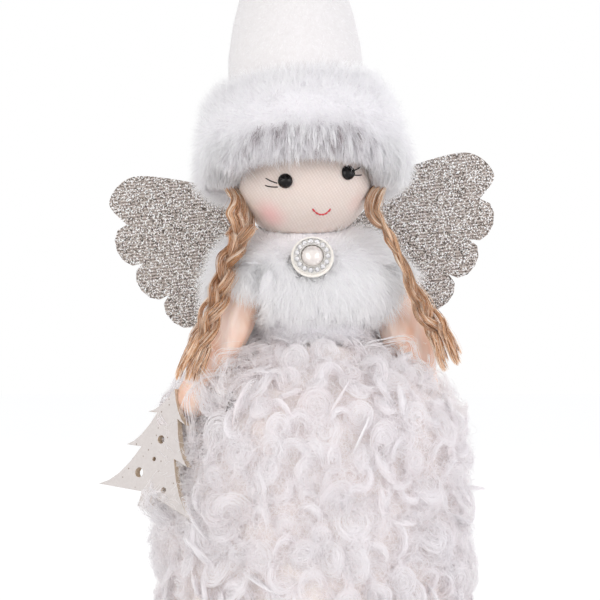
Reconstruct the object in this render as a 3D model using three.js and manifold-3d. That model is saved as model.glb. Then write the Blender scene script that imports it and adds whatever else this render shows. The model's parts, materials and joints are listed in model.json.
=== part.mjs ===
// Fabric angel figurine that stands on a flat weighted base. Millimetres, +Z up, the face looks along -Y.
// Left and right are the figure's own, so its left side is at +X.
import * as THREE from 'three';
import { mergeVertices } from 'three/addons/utils/BufferGeometryUtils.js';
import Module from 'manifold-3d';

const wasm = await Module();
wasm.setup();

// Clearances, shared by all pieces
const sewn_gap = 0.35;
const swing_gap = 0.7;
const cut_overrun = 2;
const weld_distance = 0.0005;
const shortest_step = 0.6;

// Base and body
const base_radius = 49;
const felt_thickness = 2;
const board_thickness = 2.4;
const ballast_radius = 40;
const ballast_height = 26;
const lining_thickness = 0.9;
const body_height = 156;
const body_profile_shares = [
  [0, 1], [0.12, 0.98], [0.3, 0.88], [0.5, 0.73], [0.66, 0.57], [0.76, 0.48],
  [0.86, 0.43], [0.93, 0.38], [0.97, 0.3], [1, 0.18],
];
const ballast_profile_shares = [
  [0, 0.9], [0.16, 1], [0.45, 0.99], [0.75, 0.86], [0.93, 0.58], [1, 0.2],
];
const body_rings = 13;
const body_sides = 24;

// Skirt and bodice
const skirt_radius = 62.5;
const skirt_drop = 37;
const skirt_height = body_height - skirt_drop;
const hem_height = 1;
const skirt_tufts = 10;
const skirt_tuft_rows = 7;
const skirt_tuft_relief = 3;
const skirt_profile_shares = [
  [0, 0.95], [0.1, 0.985], [0.35, 1], [0.6, 0.995], [0.72, 0.975], [0.8, 0.925],
  [0.86, 0.84], [0.92, 0.7], [0.97, 0.55], [1, 0.465],
];
const bodice_pile = 3.5;
const bodice_drop = 8;
const bodice_top = body_height - bodice_drop;

// Collar
const collar_radius = 42;
const collar_depth = 36.5;
const collar_drop = 28;
const collar_rise = 10;
const collar_bottom = body_height - collar_drop;
const collar_top = body_height + collar_rise;
const collar_shift = -2.5;
const collar_clumps = 8;
const collar_clump_relief = 1.6;
const collar_chest_share = 0.94;
const collar_chin_dip = 5.5;
const collar_dip_from_share = 0.55;
const collar_profile_shares = [
  [0, 0.84], [0.12, 0.96], [0.34, 1], [0.6, 0.94], [0.82, 0.82], [0.96, 0.64], [1, 0.46],
];

// Brooch
const brooch_drop = 3.6;
const brooch_seat_depth = 3.4;
const brooch_tilt = THREE.MathUtils.degToRad(20);
const brooch_back_radius = 8.4;
const brooch_back_thickness = 0.8;
const pearl_radius = 4.5;
const pearl_height = 4.1;
const bezel_rim = 0.25;
const bezel_thickness = 1.5;
const bezel_groove_depth = 0.8;
const stone_count = 15;
const stone_radius = 1.12;
const stone_height = 1.5;
const stone_table_radius = 0.62;
const setting_gap = 0.08;

// Head
const head_radius = 27.2;
const head_depth = 26;
const head_half_height = 25;
const head_shift = -2.8;
const head_forward = 2;
const neck_radius = 7.6;
const neck_height = 3.4;
const knit_thickness = 0.9;
const head_yaw = THREE.MathUtils.degToRad(11);
const head_roll = THREE.MathUtils.degToRad(-8);
const eye_radius = 3;
const eye_thickness = 2.7;
const eye_half_angle = THREE.MathUtils.degToRad(27.4);
const eye_height = -0.8;
const eye_gap = 0.2;

// Hat
const hat_tilt = THREE.MathUtils.degToRad(-8);
const hat_roll = THREE.MathUtils.degToRad(-6);
const crown_radius = 27.8;
const crown_bottom = 9;
const crown_height = 118;
const crown_thickness = 1;
const crown_lean = 9;
const hat_filling_bottom = 15;
const crown_profile_shares = [
  [0, 1], [0.18, 0.995], [0.34, 0.97], [0.48, 0.87], [0.62, 0.7], [0.75, 0.49], [0.87, 0.27],
  [0.96, 0.1], [1, 0],
];
const brim_inner_radius = 26;
const brim_thickness = 18.3;
const brim_bottom = -8;
const brim_height = 49;
const brim_front_lift = 12;
const brim_clumps = 10;
const brim_clump_relief = 1.8;
const brim_profile_shares = [
  [0, 0.08], [0.38, 0], [0.77, 0.02], [0.98, 0.14], [1, 0.28], [0.93, 0.48], [0.77, 0.72],
  [0.55, 0.9], [0.27, 1], [0, 0.97],
];

// Wings: one butterfly, cut from a stiff core and faced with cloth on both sides
const wing_half_span = 79.5;
const wing_height = 61;
const wing_drop = 25;
const wing_bottom = body_height - wing_drop;
const wing_shift = -0.4;
const wing_roll = THREE.MathUtils.degToRad(-4.2);
const wing_seat_depth = 2;
const wing_core_thickness = 1.4;
const wing_cloth_thickness = 0.6;
const wing_bridge_shares = [[0.1, 0.47], [0.3, 0.6]];
const wing_crest_shares = [[0.52, 0.92], [0.86, 1], [1, 0.84]];
const wing_notch_shares = [[0.918, 0.68], [0.847, 0.414], [0.725, 0.19], [0.565, 0]];
const wing_waist_shares = [[0.36, 0.12], [0.1, 0.16]];
const wing_lobe_bulge_share = 0.62;
const wing_lobe_overhang_share = 0.12;

// Arms
const shoulder_drop = 16;
const shoulder_height = body_height - shoulder_drop;
const shoulder_radius = 8.5;
const arm_length = 47;
const arm_radius = 9.2;
const wrist_radius = 6.6;
const hand_radius = 7.6;
const sleeve_thickness = 0.8;
const sleeve_opening_radius = 3.6;
const arm_sides = 14;
const left_shoulder_turn = THREE.MathUtils.degToRad(8);
const right_shoulder_turn = THREE.MathUtils.degToRad(36);
const left_arm_spread = THREE.MathUtils.degToRad(16);
const right_arm_spread = THREE.MathUtils.degToRad(25);
const arm_forward = THREE.MathUtils.degToRad(3);
const arm_swing = THREE.MathUtils.degToRad(30);
const arm_swell_share = 0.32;
const wrist_share = 0.86;

// Plywood tree at the right hand
const tree_thickness = 3;
const tree_height = 48.5;
const tree_tier_drops = [12, 27.2, 46];
const tree_tier_half_widths = [9.8, 16, 24.6];
const tree_notch_half_widths = [5.2, 8.6, 2.6];
const tree_notch_rises = [1.2, 1.2, 3.4];
const tree_swoop_share = 0.42;
const tree_swoop_steps = 4;
const tree_holes = [
  { across: 0, down: 20.6, radius: 1.7 },
  { across: -0.8, down: 28.8, radius: 0.9 },
  { across: -6.3, down: 35.9, radius: 2 },
  { across: 7.8, down: 39, radius: 1.2 },
];
const tree_hole_sides = 12;
const tree_yaw = THREE.MathUtils.degToRad(-36);
const tree_roll = THREE.MathUtils.degToRad(14.5);
const tree_lean = THREE.MathUtils.degToRad(6);
const tree_grip_across = 4.7;
const tree_grip_down = 1.8;
const tree_dent = 2.4;
const tree_bed_margin = 4;

// Jute plaits, three strands each
const strand_width = 3.35;
const strand_thickness = 2.5;
const plait_width = 9.4;
const plait_pitch = 34;
const plait_braid_start_share = 0.24;
const plait_braid_end_share = 0.72;
const plait_drop = 80;
const plait_root_drop = 1;
const plait_root_forward = 2;
const plait_root_reach = 4;
const plait_tail_spread = 0.9;
const strand_room_share = 1.05;
const strands_in_plait = 3;
const strand_steps = 32;
const strand_corners = 3;
const plait_swing = THREE.MathUtils.degToRad(20);
const left_plait_twist = THREE.MathUtils.degToRad(80);
const right_plait_twist = THREE.MathUtils.degToRad(60);
const plait_twist_end_share = 0.6;
const plait_loose_from_share = 0.78;
const left_plait_route_shares = [
  [0, 0, 0], [-0.03, 0.1, 0.08], [-0.04, 0.15, 0.16], [-0.011, 0.19, 0.25], [0.032, 0.235, 0.338],
  [0.083, 0.255, 0.426], [0.122, 0.255, 0.514], [0.167, 0.24, 0.603], [0.221, 0.225, 0.69],
  [0.282, 0.215, 0.779], [0.322, 0.21, 0.868], [0.352, 0.21, 0.918],
];
const right_plait_route_shares = [
  [0, 0, 0], [-0.027, 0.075, 0.1], [-0.068, 0.145, 0.2], [-0.05, 0.23, 0.29], [-0.018, 0.305, 0.418],
  [0.015, 0.345, 0.53], [0.044, 0.367, 0.617], [0.079, 0.392, 0.705], [0.105, 0.405, 0.79],
  [0.158, 0.405, 0.94], [0.168, 0.4, 0.99],
];

// Colours and finishes
function finish(name, color, roughness) {
  return new THREE.MeshStandardMaterial({ name, color, roughness, metalness: 0 });
}
const felt = finish('wool felt', 0xe9e4dd, 0.95);
const fibreboard = finish('fibreboard', 0xa98662, 0.85);
const pellet_bag = finish('pellet bag', 0xd9d2c4, 0.8);
const wadding = finish('polyester wadding', 0xf4f2ee, 1);
const cotton = finish('cotton lining', 0xf1e9df, 0.9);
const curly_fur = finish('curly faux fur', 0xf3ece6, 0.95);
const plush = finish('short plush', 0xf5f2f4, 0.95);
const long_fur = finish('long faux fur', 0xf6f4f8, 0.95);
const knit = finish('fine knit', 0xf0dfd5, 0.85);
const bead = finish('black glass bead', 0x0c0b0c, 0.08);
const fleece = finish('hat fleece', 0xeeebe8, 0.95);
const lame = finish('glitter lame', 0xc4b9ae, 0.45);
const card = finish('wing card', 0xcfc6ba, 0.8);
const satin = finish('peach satin', 0xefc9ae, 0.4);
const plywood = finish('painted plywood', 0xddd6d3, 0.7);
const jute = finish('jute', 0xb5804f, 0.9);
const clear_disc = finish('cream plastic', 0xf2ede6, 0.4);
const silver = finish('silvered setting', 0xd9d6d2, 0.25);
const crystal = finish('rhinestone', 0xf3f4f8, 0.05);
const pearl_white = finish('pearl lacquer', 0xf1ebe4, 0.2);

// A closed solid from a three.js geometry, with its shared corners welded and flat slivers dropped
function solidFrom(geometry) {
  const bare = new THREE.BufferGeometry();
  bare.setAttribute('position', geometry.getAttribute('position'));
  bare.setIndex(geometry.getIndex());
  const welded = mergeVertices(bare, weld_distance);
  const corners = welded.getIndex().array;
  const kept = [];
  for (let i = 0; i < corners.length; i += 3) {
    const [a, b, c] = [corners[i], corners[i + 1], corners[i + 2]];
    if (a !== b && b !== c && c !== a) kept.push(a, b, c);
  }
  const vertProperties = welded.getAttribute('position').array;
  const triVerts = Uint32Array.from(kept);
  return new wasm.Manifold(new wasm.Mesh({ numProp: 3, vertProperties, triVerts }));
}

function geometryFrom(solid) {
  const mesh = solid.getMesh();
  const geometry = new THREE.BufferGeometry();
  geometry.setAttribute('position', new THREE.BufferAttribute(mesh.vertProperties, mesh.numProp));
  geometry.setIndex(new THREE.BufferAttribute(mesh.triVerts, 1));
  geometry.computeVertexNormals();
  return geometry;
}

function piece(name, shape, material) {
  const geometry = shape.isBufferGeometry ? shape : geometryFrom(shape);
  const mesh = new THREE.Mesh(geometry, material);
  mesh.name = name;
  return mesh;
}

// A solid given in the figure's frame, as a group sees it, and the other way round
function seenFrom(group, solid) {
  return solid.transform(group.matrixWorld.clone().invert().elements);
}
function inFigure(group, solid) {
  return solid.transform(group.matrixWorld.elements);
}

// A body of revolution about Z, from [radius, height] pairs that run upwards
function turned(profile, sides) {
  const points = profile.map(([radius, height]) => new THREE.Vector2(radius, height));
  return new THREE.LatheGeometry(points, sides).rotateX(Math.PI / 2);
}

// Moves every corner of a geometry by a rule
function warped(geometry, place) {
  const position = geometry.getAttribute('position');
  const point = new THREE.Vector3();
  for (let i = 0; i < position.count; i += 1) {
    point.fromBufferAttribute(position, i);
    place(point);
    position.setXYZ(i, point.x, point.y, point.z);
  }
  return geometry;
}

// Sinks the valleys between tufts of fur, and leaves both ends of the piece as they are
function tufted(geometry, low, high, across, rows, relief) {
  return warped(geometry, (point) => {
    const rise = THREE.MathUtils.clamp((point.z - low) / (high - low), 0, 1);
    const turn = Math.atan2(point.y, point.x);
    const row = rows * rise * Math.PI;
    const wave = Math.cos(across * turn + row) * Math.cos(row);
    const radius = Math.hypot(point.x, point.y);
    const sink = relief * (1 - wave) * Math.sin(rise * Math.PI) / 2;
    const scale = radius > sink ? 1 - sink / radius : 1;
    point.x *= scale;
    point.y *= scale;
  });
}

// A smooth outline through [height share, radius share] pairs
function outlineFrom(shares, radius, low, high, rings) {
  const knots = shares.map(([rise, reach]) => (
    new THREE.Vector2(radius * reach, THREE.MathUtils.lerp(low, high, rise))
  ));
  return new THREE.SplineCurve(knots).getPoints(rings);
}

function radiusAt(outline, height) {
  const above = outline.findIndex((point) => point.y >= height);
  if (above < 1) return above === 0 ? outline[0].x : outline[outline.length - 1].x;
  const [lower, upper] = [outline[above - 1], outline[above]];
  return THREE.MathUtils.mapLinear(height, lower.y, upper.y, lower.x, upper.x);
}

// Body: its outline is the lining's outer face, and all that covers or fills it is an offset of that
const board_bottom = felt_thickness;
const board_top = board_bottom + board_thickness;
const body_outline = outlineFrom(body_profile_shares, base_radius, 0, body_height, body_rings);

function bodyForm(offset, low, high) {
  const inner_heights = body_outline
    .map((point) => point.y)
    .filter((height) => height > low + shortest_step && height < high - shortest_step);
  const heights = [low, ...inner_heights, high];
  const wall = heights.map((height) => [radiusAt(body_outline, height) + offset, height]);
  return solidFrom(turned([[0, low], ...wall, [0, high]], body_sides));
}

function baseFelt() {
  return new THREE.CylinderGeometry(base_radius, base_radius, felt_thickness, body_sides)
    .rotateX(Math.PI / 2)
    .translate(0, 0, felt_thickness / 2);
}

function baseBoard() {
  const radius = base_radius - lining_thickness - sewn_gap;
  return new THREE.CylinderGeometry(radius, radius, board_thickness, body_sides)
    .rotateX(Math.PI / 2)
    .translate(0, 0, board_bottom + board_thickness / 2);
}

function ballastForm(offset) {
  const outline = outlineFrom(ballast_profile_shares, ballast_radius + offset, board_top,
    board_top + ballast_height + offset, ballast_profile_shares.length);
  const wall = outline.map((point) => [point.x, point.y]);
  const top = outline[outline.length - 1].y;
  return solidFrom(turned([[0, board_top], ...wall, [0, top]], body_sides));
}

function bodyFilling() {
  const inset = lining_thickness + sewn_gap;
  return bodyForm(-inset, board_top + sewn_gap, body_height - inset)
    .subtract(ballastForm(sewn_gap));
}

function bodyLining() {
  const inside = bodyForm(-lining_thickness, board_bottom - cut_overrun, body_height - lining_thickness);
  return bodyForm(0, board_bottom, body_height).subtract(inside);
}

function bodiceForm(offset) {
  return bodyForm(bodice_pile + offset, skirt_height + sewn_gap - offset, bodice_top + offset);
}

function plushBodice() {
  const inside = bodyForm(sewn_gap, skirt_height - cut_overrun, bodice_top + cut_overrun);
  return bodiceForm(0).subtract(inside);
}

// An extrusion stood up so that its outline lies in the XZ plane and it runs forwards from a plane
const upright = new THREE.Matrix4().makeBasis(
  new THREE.Vector3(1, 0, 0), new THREE.Vector3(0, 0, 1), new THREE.Vector3(0, -1, 0));

function standing(extrusion, back) {
  return extrusion.applyMatrix4(upright).translate(0, back, 0);
}

// The fan-shaped room that a hanging piece needs while it swings outwards about an axis along Y
function swingRoom(pivot, side, half_width, reach, rest, swing, front, back) {
  const grown = half_width + swing_gap;
  const far = reach + swing_gap;
  const room = new THREE.Shape();
  const inner_end = new THREE.Vector2(-grown, -far).rotateAround(new THREE.Vector2(), rest);
  const outer_end = new THREE.Vector2(grown, -far).rotateAround(new THREE.Vector2(), rest + swing);
  room.moveTo(inner_end.x, inner_end.y);
  room.absarc(0, 0, grown, Math.PI + rest, rest + swing, true);
  room.lineTo(outer_end.x, outer_end.y);
  const end_radius = inner_end.length();
  room.absarc(0, 0, end_radius, outer_end.angle(), inner_end.angle(), true);
  const depth = back - front + 2 * swing_gap;
  const fan = new THREE.ExtrudeGeometry(room, { depth, bevelEnabled: false, curveSegments: 8 });
  const solid = solidFrom(standing(fan, back + swing_gap));
  const turned_to_side = side > 0 ? solid : solid.mirror([1, 0, 0]);
  return turned_to_side.translate([pivot.x, 0, pivot.z]);
}

// Arms: a group at each shoulder holds the sleeve, its filling and what the hand carries
const pivot_radius = radiusAt(body_outline, shoulder_height) + bodice_pile + sewn_gap + shoulder_radius;

function armAt(side, turn, spread) {
  const pivot = new THREE.Vector3(
    side * pivot_radius * Math.cos(turn), -pivot_radius * Math.sin(turn), shoulder_height);
  const direction = new THREE.Vector3(side * Math.sin(spread), -Math.sin(arm_forward), -Math.cos(spread))
    .normalize();
  const group = new THREE.Group();
  group.position.copy(pivot);
  group.quaternion.setFromUnitVectors(new THREE.Vector3(0, 0, -1), direction);
  group.updateMatrixWorld(true);
  const hand = direction.clone().multiplyScalar(arm_length).add(pivot);
  const front = Math.min(pivot.y, hand.y) - arm_radius;
  const back = Math.max(pivot.y, hand.y) + arm_radius;
  const reach = arm_length + hand_radius;
  const room = swingRoom(pivot, side, arm_radius, reach, spread, arm_swing, front, back);
  return { group, hand, room };
}
const left_arm = armAt(1, left_shoulder_turn, left_arm_spread);
const right_arm = armAt(-1, right_shoulder_turn, right_arm_spread);

// The arm's outline below the shoulder, from the hand upwards, as [radius, height]
function armWall(inset) {
  const knots = [
    [hand_radius, -arm_length],
    [wrist_radius, -arm_length * wrist_share],
    [arm_radius, -arm_length * (wrist_share + arm_swell_share) / 2],
    [arm_radius, -arm_length * arm_swell_share],
    [shoulder_radius, 0],
  ];
  return knots.map(([radius, height]) => new THREE.Vector2(radius - inset, height));
}

function rounded(points, rings) {
  return new THREE.SplineCurve(points).getPoints(rings).map((point) => [point.x, point.y]);
}

function quarterRound(radius, centre, rings, upward) {
  return Array.from({ length: rings }, (_, i) => {
    const turn = (upward ? i + 1 : rings - i) / rings * Math.PI / 2;
    const rise = radius * Math.sin(turn);
    return [radius * Math.cos(turn), upward ? centre + rise : centre - rise];
  });
}

function sleeveOpening(radius, from) {
  const top = shoulder_radius + cut_overrun;
  const length = top - from;
  return solidFrom(new THREE.CylinderGeometry(radius, radius, length, arm_sides)
    .rotateX(Math.PI / 2)
    .translate(0, 0, from + length / 2));
}

function armForm() {
  const rings = 3;
  const end = quarterRound(hand_radius, -arm_length, rings, false);
  const cap = quarterRound(shoulder_radius, 0, rings, true);
  const wall = rounded(armWall(0), 2 * armWall(0).length);
  end[0][0] = 0;
  cap[rings - 1][0] = 0;
  return solidFrom(turned([...end, ...wall, ...cap], arm_sides));
}

// The inside of the sleeve stops at the wrist, where a thread draws the cloth into a knob
function sleeveInside(inset) {
  const bottom = -arm_length * wrist_share + inset;
  const wall = rounded(armWall(inset), 2 * armWall(inset).length)
    .filter(([, height]) => height > bottom + shortest_step);
  const cap = quarterRound(shoulder_radius - inset, 0, 3, true);
  cap[cap.length - 1][0] = 0;
  const start = [wrist_radius - inset, bottom];
  return solidFrom(turned([[0, bottom], start, ...wall, ...cap], arm_sides));
}

function sleeve(arm, seat) {
  const opening = sleeveOpening(sleeve_opening_radius, 0);
  const shell = armForm().subtract(sleeveInside(sleeve_thickness).add(opening));
  return seat ? shell.subtract(seenFrom(arm.group, seat)) : shell;
}

function sleeveFilling() {
  return sleeveInside(sleeve_thickness + sewn_gap);
}

// Curly skirt, open to the swing of both arms
const skirt_outline = outlineFrom(skirt_profile_shares, skirt_radius, hem_height, skirt_height,
  skirt_profile_shares.length + skirt_tuft_rows);

function curlySkirt() {
  const wall = skirt_outline.map((point) => [point.x, point.y]);
  const closed = [[0, hem_height], ...wall, [0, skirt_height]];
  const sides = skirt_tufts * 4;
  const outside = tufted(turned(closed, sides), hem_height, skirt_height, skirt_tufts, skirt_tuft_rows,
    skirt_tuft_relief);
  return solidFrom(outside)
    .subtract(bodyForm(sewn_gap, hem_height - cut_overrun, skirt_height + cut_overrun))
    .subtract(left_arm.room)
    .subtract(right_arm.room)
    .subtract(treeBed());
}

// Head: a group at the ball's centre, turned to the figure's left and leaned to its right
const head = new THREE.Group();
head.position.set(head_shift, -head_forward, body_height + neck_height + head_half_height);
head.rotation.set(0, head_roll, head_yaw);
head.updateMatrixWorld(true);

function headForm(inset) {
  const [radius, height, neck] = [head_radius - inset, head_half_height - inset, neck_radius - inset];
  const low = -(head_half_height + neck_height + cut_overrun);
  const rings = 10;
  const start = Math.asin(neck / radius);
  const ball = Array.from({ length: rings + 1 }, (_, i) => {
    const turn = THREE.MathUtils.lerp(start, Math.PI, i / rings);
    return [i === rings ? 0 : radius * Math.sin(turn), -height * Math.cos(turn)];
  });
  const depth_share = (head_depth - inset) / radius;
  return solidFrom(turned([[0, low], [neck, low], ...ball], body_sides).scale(1, depth_share, 1));
}

function bodyTop(offset) {
  return seenFrom(head, bodyForm(offset, board_top, body_height + offset));
}

function headCover() {
  return headForm(0).subtract(headForm(knit_thickness)).subtract(bodyTop(sewn_gap));
}

function headFilling() {
  return headForm(knit_thickness + sewn_gap).subtract(bodyTop(sewn_gap));
}

// A domed bead with a flat back, its back face in the XY plane
function dome(radius, thickness, sides) {
  const rings = 5;
  const round = Array.from({ length: rings + 1 }, (_, i) => {
    const turn = i / rings * Math.PI / 2;
    return [i === rings ? 0 : radius * Math.cos(turn), thickness * Math.sin(turn)];
  });
  return turned([[0, 0], ...round], sides);
}

function eye(name, side) {
  const mesh = piece(name, dome(eye_radius, eye_thickness, 14), bead);
  const across = Math.sin(side * eye_half_angle);
  const ahead = -Math.cos(eye_half_angle);
  const level = Math.sqrt(1 - (eye_height / head_half_height) ** 2);
  const on_skin = new THREE.Vector3(head_radius * across * level, head_depth * ahead * level, eye_height);
  const outward = new THREE.Vector3(
    on_skin.x / head_radius ** 2, on_skin.y / head_depth ** 2, on_skin.z / head_half_height ** 2)
    .normalize();
  mesh.position.copy(on_skin).addScaledVector(outward, eye_gap);
  mesh.quaternion.setFromUnitVectors(new THREE.Vector3(0, 0, 1), outward);
  return mesh;
}

// Hat: a group at the same centre, tipped back
const hat = new THREE.Group();
hat.position.copy(head.position);
hat.rotation.set(hat_tilt, hat_roll, 0);
hat.updateMatrixWorld(true);

function headInHat(inset) {
  return seenFrom(hat, inFigure(head, headForm(inset)));
}

function leaned(geometry) {
  return warped(geometry, (point) => {
    const rise = Math.max(0, point.z - crown_bottom) / crown_height;
    point.x += crown_lean * rise * rise;
  });
}

function crownForm(inset, bottom) {
  const share = (crown_radius - inset) / crown_radius;
  const outline = outlineFrom(crown_profile_shares, crown_radius * share, crown_bottom,
    crown_bottom + crown_height * share, 11);
  const wall = outline.filter((point) => point.y > bottom + shortest_step).map((point) => [point.x, point.y]);
  wall[wall.length - 1][0] = 0;
  const start = [radiusAt(outline, bottom), bottom];
  return solidFrom(leaned(turned([[0, bottom], start, ...wall], body_sides)));
}

function hatCrown() {
  return crownForm(0, crown_bottom).subtract(crownForm(crown_thickness, crown_bottom - cut_overrun));
}

function hatFilling() {
  return crownForm(crown_thickness + sewn_gap, hat_filling_bottom).subtract(headInHat(-sewn_gap));
}

function brimForm() {
  const loop = brim_profile_shares.map(([across, rise]) => [
    brim_inner_radius + brim_thickness * across,
    brim_bottom + brim_height * rise,
  ]);
  const ring = tufted(turned([...loop, loop[0]], brim_clumps * 4), brim_bottom, brim_bottom + brim_height,
    brim_clumps, 1, brim_clump_relief);
  return solidFrom(warped(ring, (point) => {
    const ahead = (1 - point.y / Math.hypot(point.x, point.y)) / 2;
    const fall = 1 - (point.z - brim_bottom) / brim_height;
    point.z += brim_front_lift * ahead * ahead * fall;
  }));
}

// Plaits: the frame of each runs down its route, with one axis across it and one through it
const strand_spread = (plait_width - strand_width) / 2;
const spread_share = strand_spread / strand_width;
const strand_lift = strand_thickness * spread_share ** 2
  * Math.sqrt(3 / 16 / (1.5 * spread_share ** 2 - strand_room_share ** 2));
const plait_half_depth = strand_lift + strand_thickness / 2;

function plaitAt(side, route_shares, twist) {
  const root = new THREE.Vector3(
    head.position.x + side * (head_radius + sewn_gap + plait_root_reach),
    head.position.y - plait_root_forward,
    head.position.z - plait_root_drop,
  );
  const points = route_shares.map(([out, ahead, down]) => (
    new THREE.Vector3(side * out, -ahead, -down).multiplyScalar(plait_drop)
  ));
  const group = new THREE.Group();
  group.position.copy(root);
  const half_width = plait_width / 2;
  const reach = brim_height;
  const front = root.y - plait_half_depth - plait_root_forward * plait_width;
  const back = root.y + half_width;
  const room = swingRoom(root, side, half_width, reach, 0, plait_swing, front, back);
  return { group, route: new THREE.CatmullRomCurve3(points), twist: side * twist, room };
}
const left_plait = plaitAt(1, left_plait_route_shares, left_plait_twist);
const right_plait = plaitAt(-1, right_plait_route_shares, right_plait_twist);

function plaitStrand(plait, number) {
  const { route, twist } = plait;
  const length = route.getLength();
  const section = new THREE.Shape();
  section.absellipse(0, 0, strand_width / 2, strand_thickness / 2, 0, 2 * Math.PI);
  const straight = new THREE.ExtrudeGeometry(section, {
    depth: length, steps: strand_steps, bevelEnabled: false, curveSegments: strand_corners,
  });
  return warped(straight, (point) => {
    const along = THREE.MathUtils.clamp(point.z / length, 0, 1);
    const tangent = route.getTangentAt(along);
    const across = new THREE.Vector3(0, 1, 0).cross(tangent).normalize();
    const untwisted = 1 - THREE.MathUtils.smoothstep(along, 0, plait_twist_end_share);
    across.applyAxisAngle(tangent, twist * untwisted);
    const through = tangent.clone().cross(across);
    const braided = THREE.MathUtils.clamp(along, plait_braid_start_share, plait_braid_end_share)
      - plait_braid_start_share;
    const turn = 2 * Math.PI * (braided * length / plait_pitch + number / strands_in_plait);
    const loose = THREE.MathUtils.smoothstep(along, plait_loose_from_share, 1);
    const spread = strand_spread + plait_tail_spread * loose;
    const x = point.x + spread * Math.sin(turn);
    const y = point.y + strand_lift * Math.sin(2 * turn);
    point.copy(route.getPointAt(along)).addScaledVector(across, x).addScaledVector(through, y);
  });
}

function furBrim() {
  return brimForm()
    .subtract(crownForm(-sewn_gap, crown_bottom - sewn_gap))
    .subtract(headInHat(-sewn_gap))
    .subtract(seenFrom(hat, left_plait.room))
    .subtract(seenFrom(hat, right_plait.room));
}

// Collar: a fur cape draped over bodice and shoulders, with flat seats for the brooch and the wings
const collar_front = -collar_depth * collar_chest_share;
const wing_seat = collar_depth - wing_seat_depth;

// A group whose Z axis looks out of the collar's front, with its origin on the floor of the seat
const brooch = new THREE.Group();
brooch.position.set(0, collar_front + brooch_seat_depth, body_height - brooch_drop);
brooch.rotation.set(Math.PI / 2 - brooch_tilt, 0, 0);
brooch.updateMatrixWorld(true);

function furCollar() {
  const outline = outlineFrom(collar_profile_shares, collar_radius, collar_bottom, collar_top, 12);
  const wall = outline.map((point) => [point.x, point.y]);
  const profile = [[0, collar_bottom], ...wall, [0, collar_top]];
  const cape = tufted(turned(profile, collar_clumps * 4), collar_bottom, collar_top, collar_clumps, 2,
    collar_clump_relief);
  cape.scale(1, collar_depth / collar_radius, 1).translate(collar_shift, 0, 0);
  warped(cape, (point) => {
    const ahead = Math.max(0, -point.y) / collar_depth;
    const rise = (point.z - collar_bottom) / (collar_top - collar_bottom);
    point.z -= collar_chin_dip * Math.sqrt(ahead) * THREE.MathUtils.smoothstep(rise, collar_dip_from_share, 1);
  });
  const seat_radius = brooch_back_radius + sewn_gap;
  const brooch_seat = new THREE.CylinderGeometry(seat_radius, seat_radius, collar_depth, body_sides)
    .rotateX(Math.PI / 2)
    .translate(0, 0, collar_depth / 2);
  const wing_room = new THREE.BoxGeometry(2 * wing_half_span, collar_depth, 2 * wing_height)
    .translate(0, wing_seat + collar_depth / 2, wing_bottom + wing_height);
  return solidFrom(cape)
    .subtract(bodyForm(bodice_pile + sewn_gap, collar_bottom - cut_overrun, body_height + sewn_gap))
    .subtract(inFigure(head, headForm(-sewn_gap)))
    .subtract(left_arm.room)
    .subtract(right_arm.room)
    .subtract(inFigure(brooch, solidFrom(brooch_seat)))
    .subtract(solidFrom(wing_room));
}

// Brooch: what lies on the seat, from the disc up to the pearl
const bezel_inner_radius = pearl_radius + setting_gap;
const groove_inner_radius = bezel_inner_radius + bezel_rim;
const groove_outer_radius = groove_inner_radius + 2 * (stone_radius + setting_gap);
const bezel_radius = groove_outer_radius + bezel_rim;
const stone_ring_radius = (groove_inner_radius + groove_outer_radius) / 2;

function broochBack() {
  return new THREE.CylinderGeometry(brooch_back_radius, brooch_back_radius, brooch_back_thickness, body_sides)
    .rotateX(Math.PI / 2)
    .translate(0, 0, sewn_gap + brooch_back_thickness / 2);
}

function broochBezel() {
  const bottom = sewn_gap + brooch_back_thickness;
  const top = bottom + bezel_thickness;
  const floor = top - bezel_groove_depth;
  return turned([
    [bezel_inner_radius, bottom], [bezel_radius, bottom], [bezel_radius, top], [groove_outer_radius, top],
    [groove_outer_radius, floor], [groove_inner_radius, floor], [groove_inner_radius, top],
    [bezel_inner_radius, top], [bezel_inner_radius, bottom],
  ], body_sides);
}

function broochStone(number) {
  const name = `brooch_stone_${String(number + 1).padStart(2, '0')}`;
  const floor = sewn_gap + brooch_back_thickness + bezel_thickness - bezel_groove_depth;
  const cut = [
    [0, 0], [stone_radius, 0], [stone_radius, stone_height / 2], [stone_table_radius, stone_height],
    [0, stone_height],
  ];
  const mesh = piece(name, turned(cut, 8), crystal);
  const turn = 2 * Math.PI * number / stone_count;
  mesh.position.set(stone_ring_radius * Math.cos(turn), stone_ring_radius * Math.sin(turn), floor);
  mesh.rotation.z = turn;
  return mesh;
}

function broochPearl() {
  const mesh = piece('brooch_pearl', dome(pearl_radius, pearl_height, 16), pearl_white);
  mesh.position.z = sewn_gap + brooch_back_thickness;
  return mesh;
}

// Wings: the outline of one half, from the bridge over the crest and down the lobes, mirrored
const wings = new THREE.Group();
wings.position.set(wing_shift, wing_seat + sewn_gap, wing_bottom);
wings.rotation.set(0, wing_roll, 0);

function wingPoint([out, up], side) {
  return new THREE.Vector2(side * out * wing_half_span, up * wing_height);
}

// One lobe between two notches, which swells outwards past the line between them
function addLobe(shape, from, to, side) {
  const chord = to.clone().sub(from);
  const outward = new THREE.Vector2(-chord.y, chord.x).multiplyScalar(side);
  const bulge = outward.multiplyScalar(wing_lobe_bulge_share);
  const overhang = chord.multiplyScalar(wing_lobe_overhang_share);
  const first = from.clone().add(bulge).sub(overhang);
  const second = to.clone().add(bulge).add(overhang);
  shape.bezierCurveTo(first.x, first.y, second.x, second.y, to.x, to.y);
}

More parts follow.
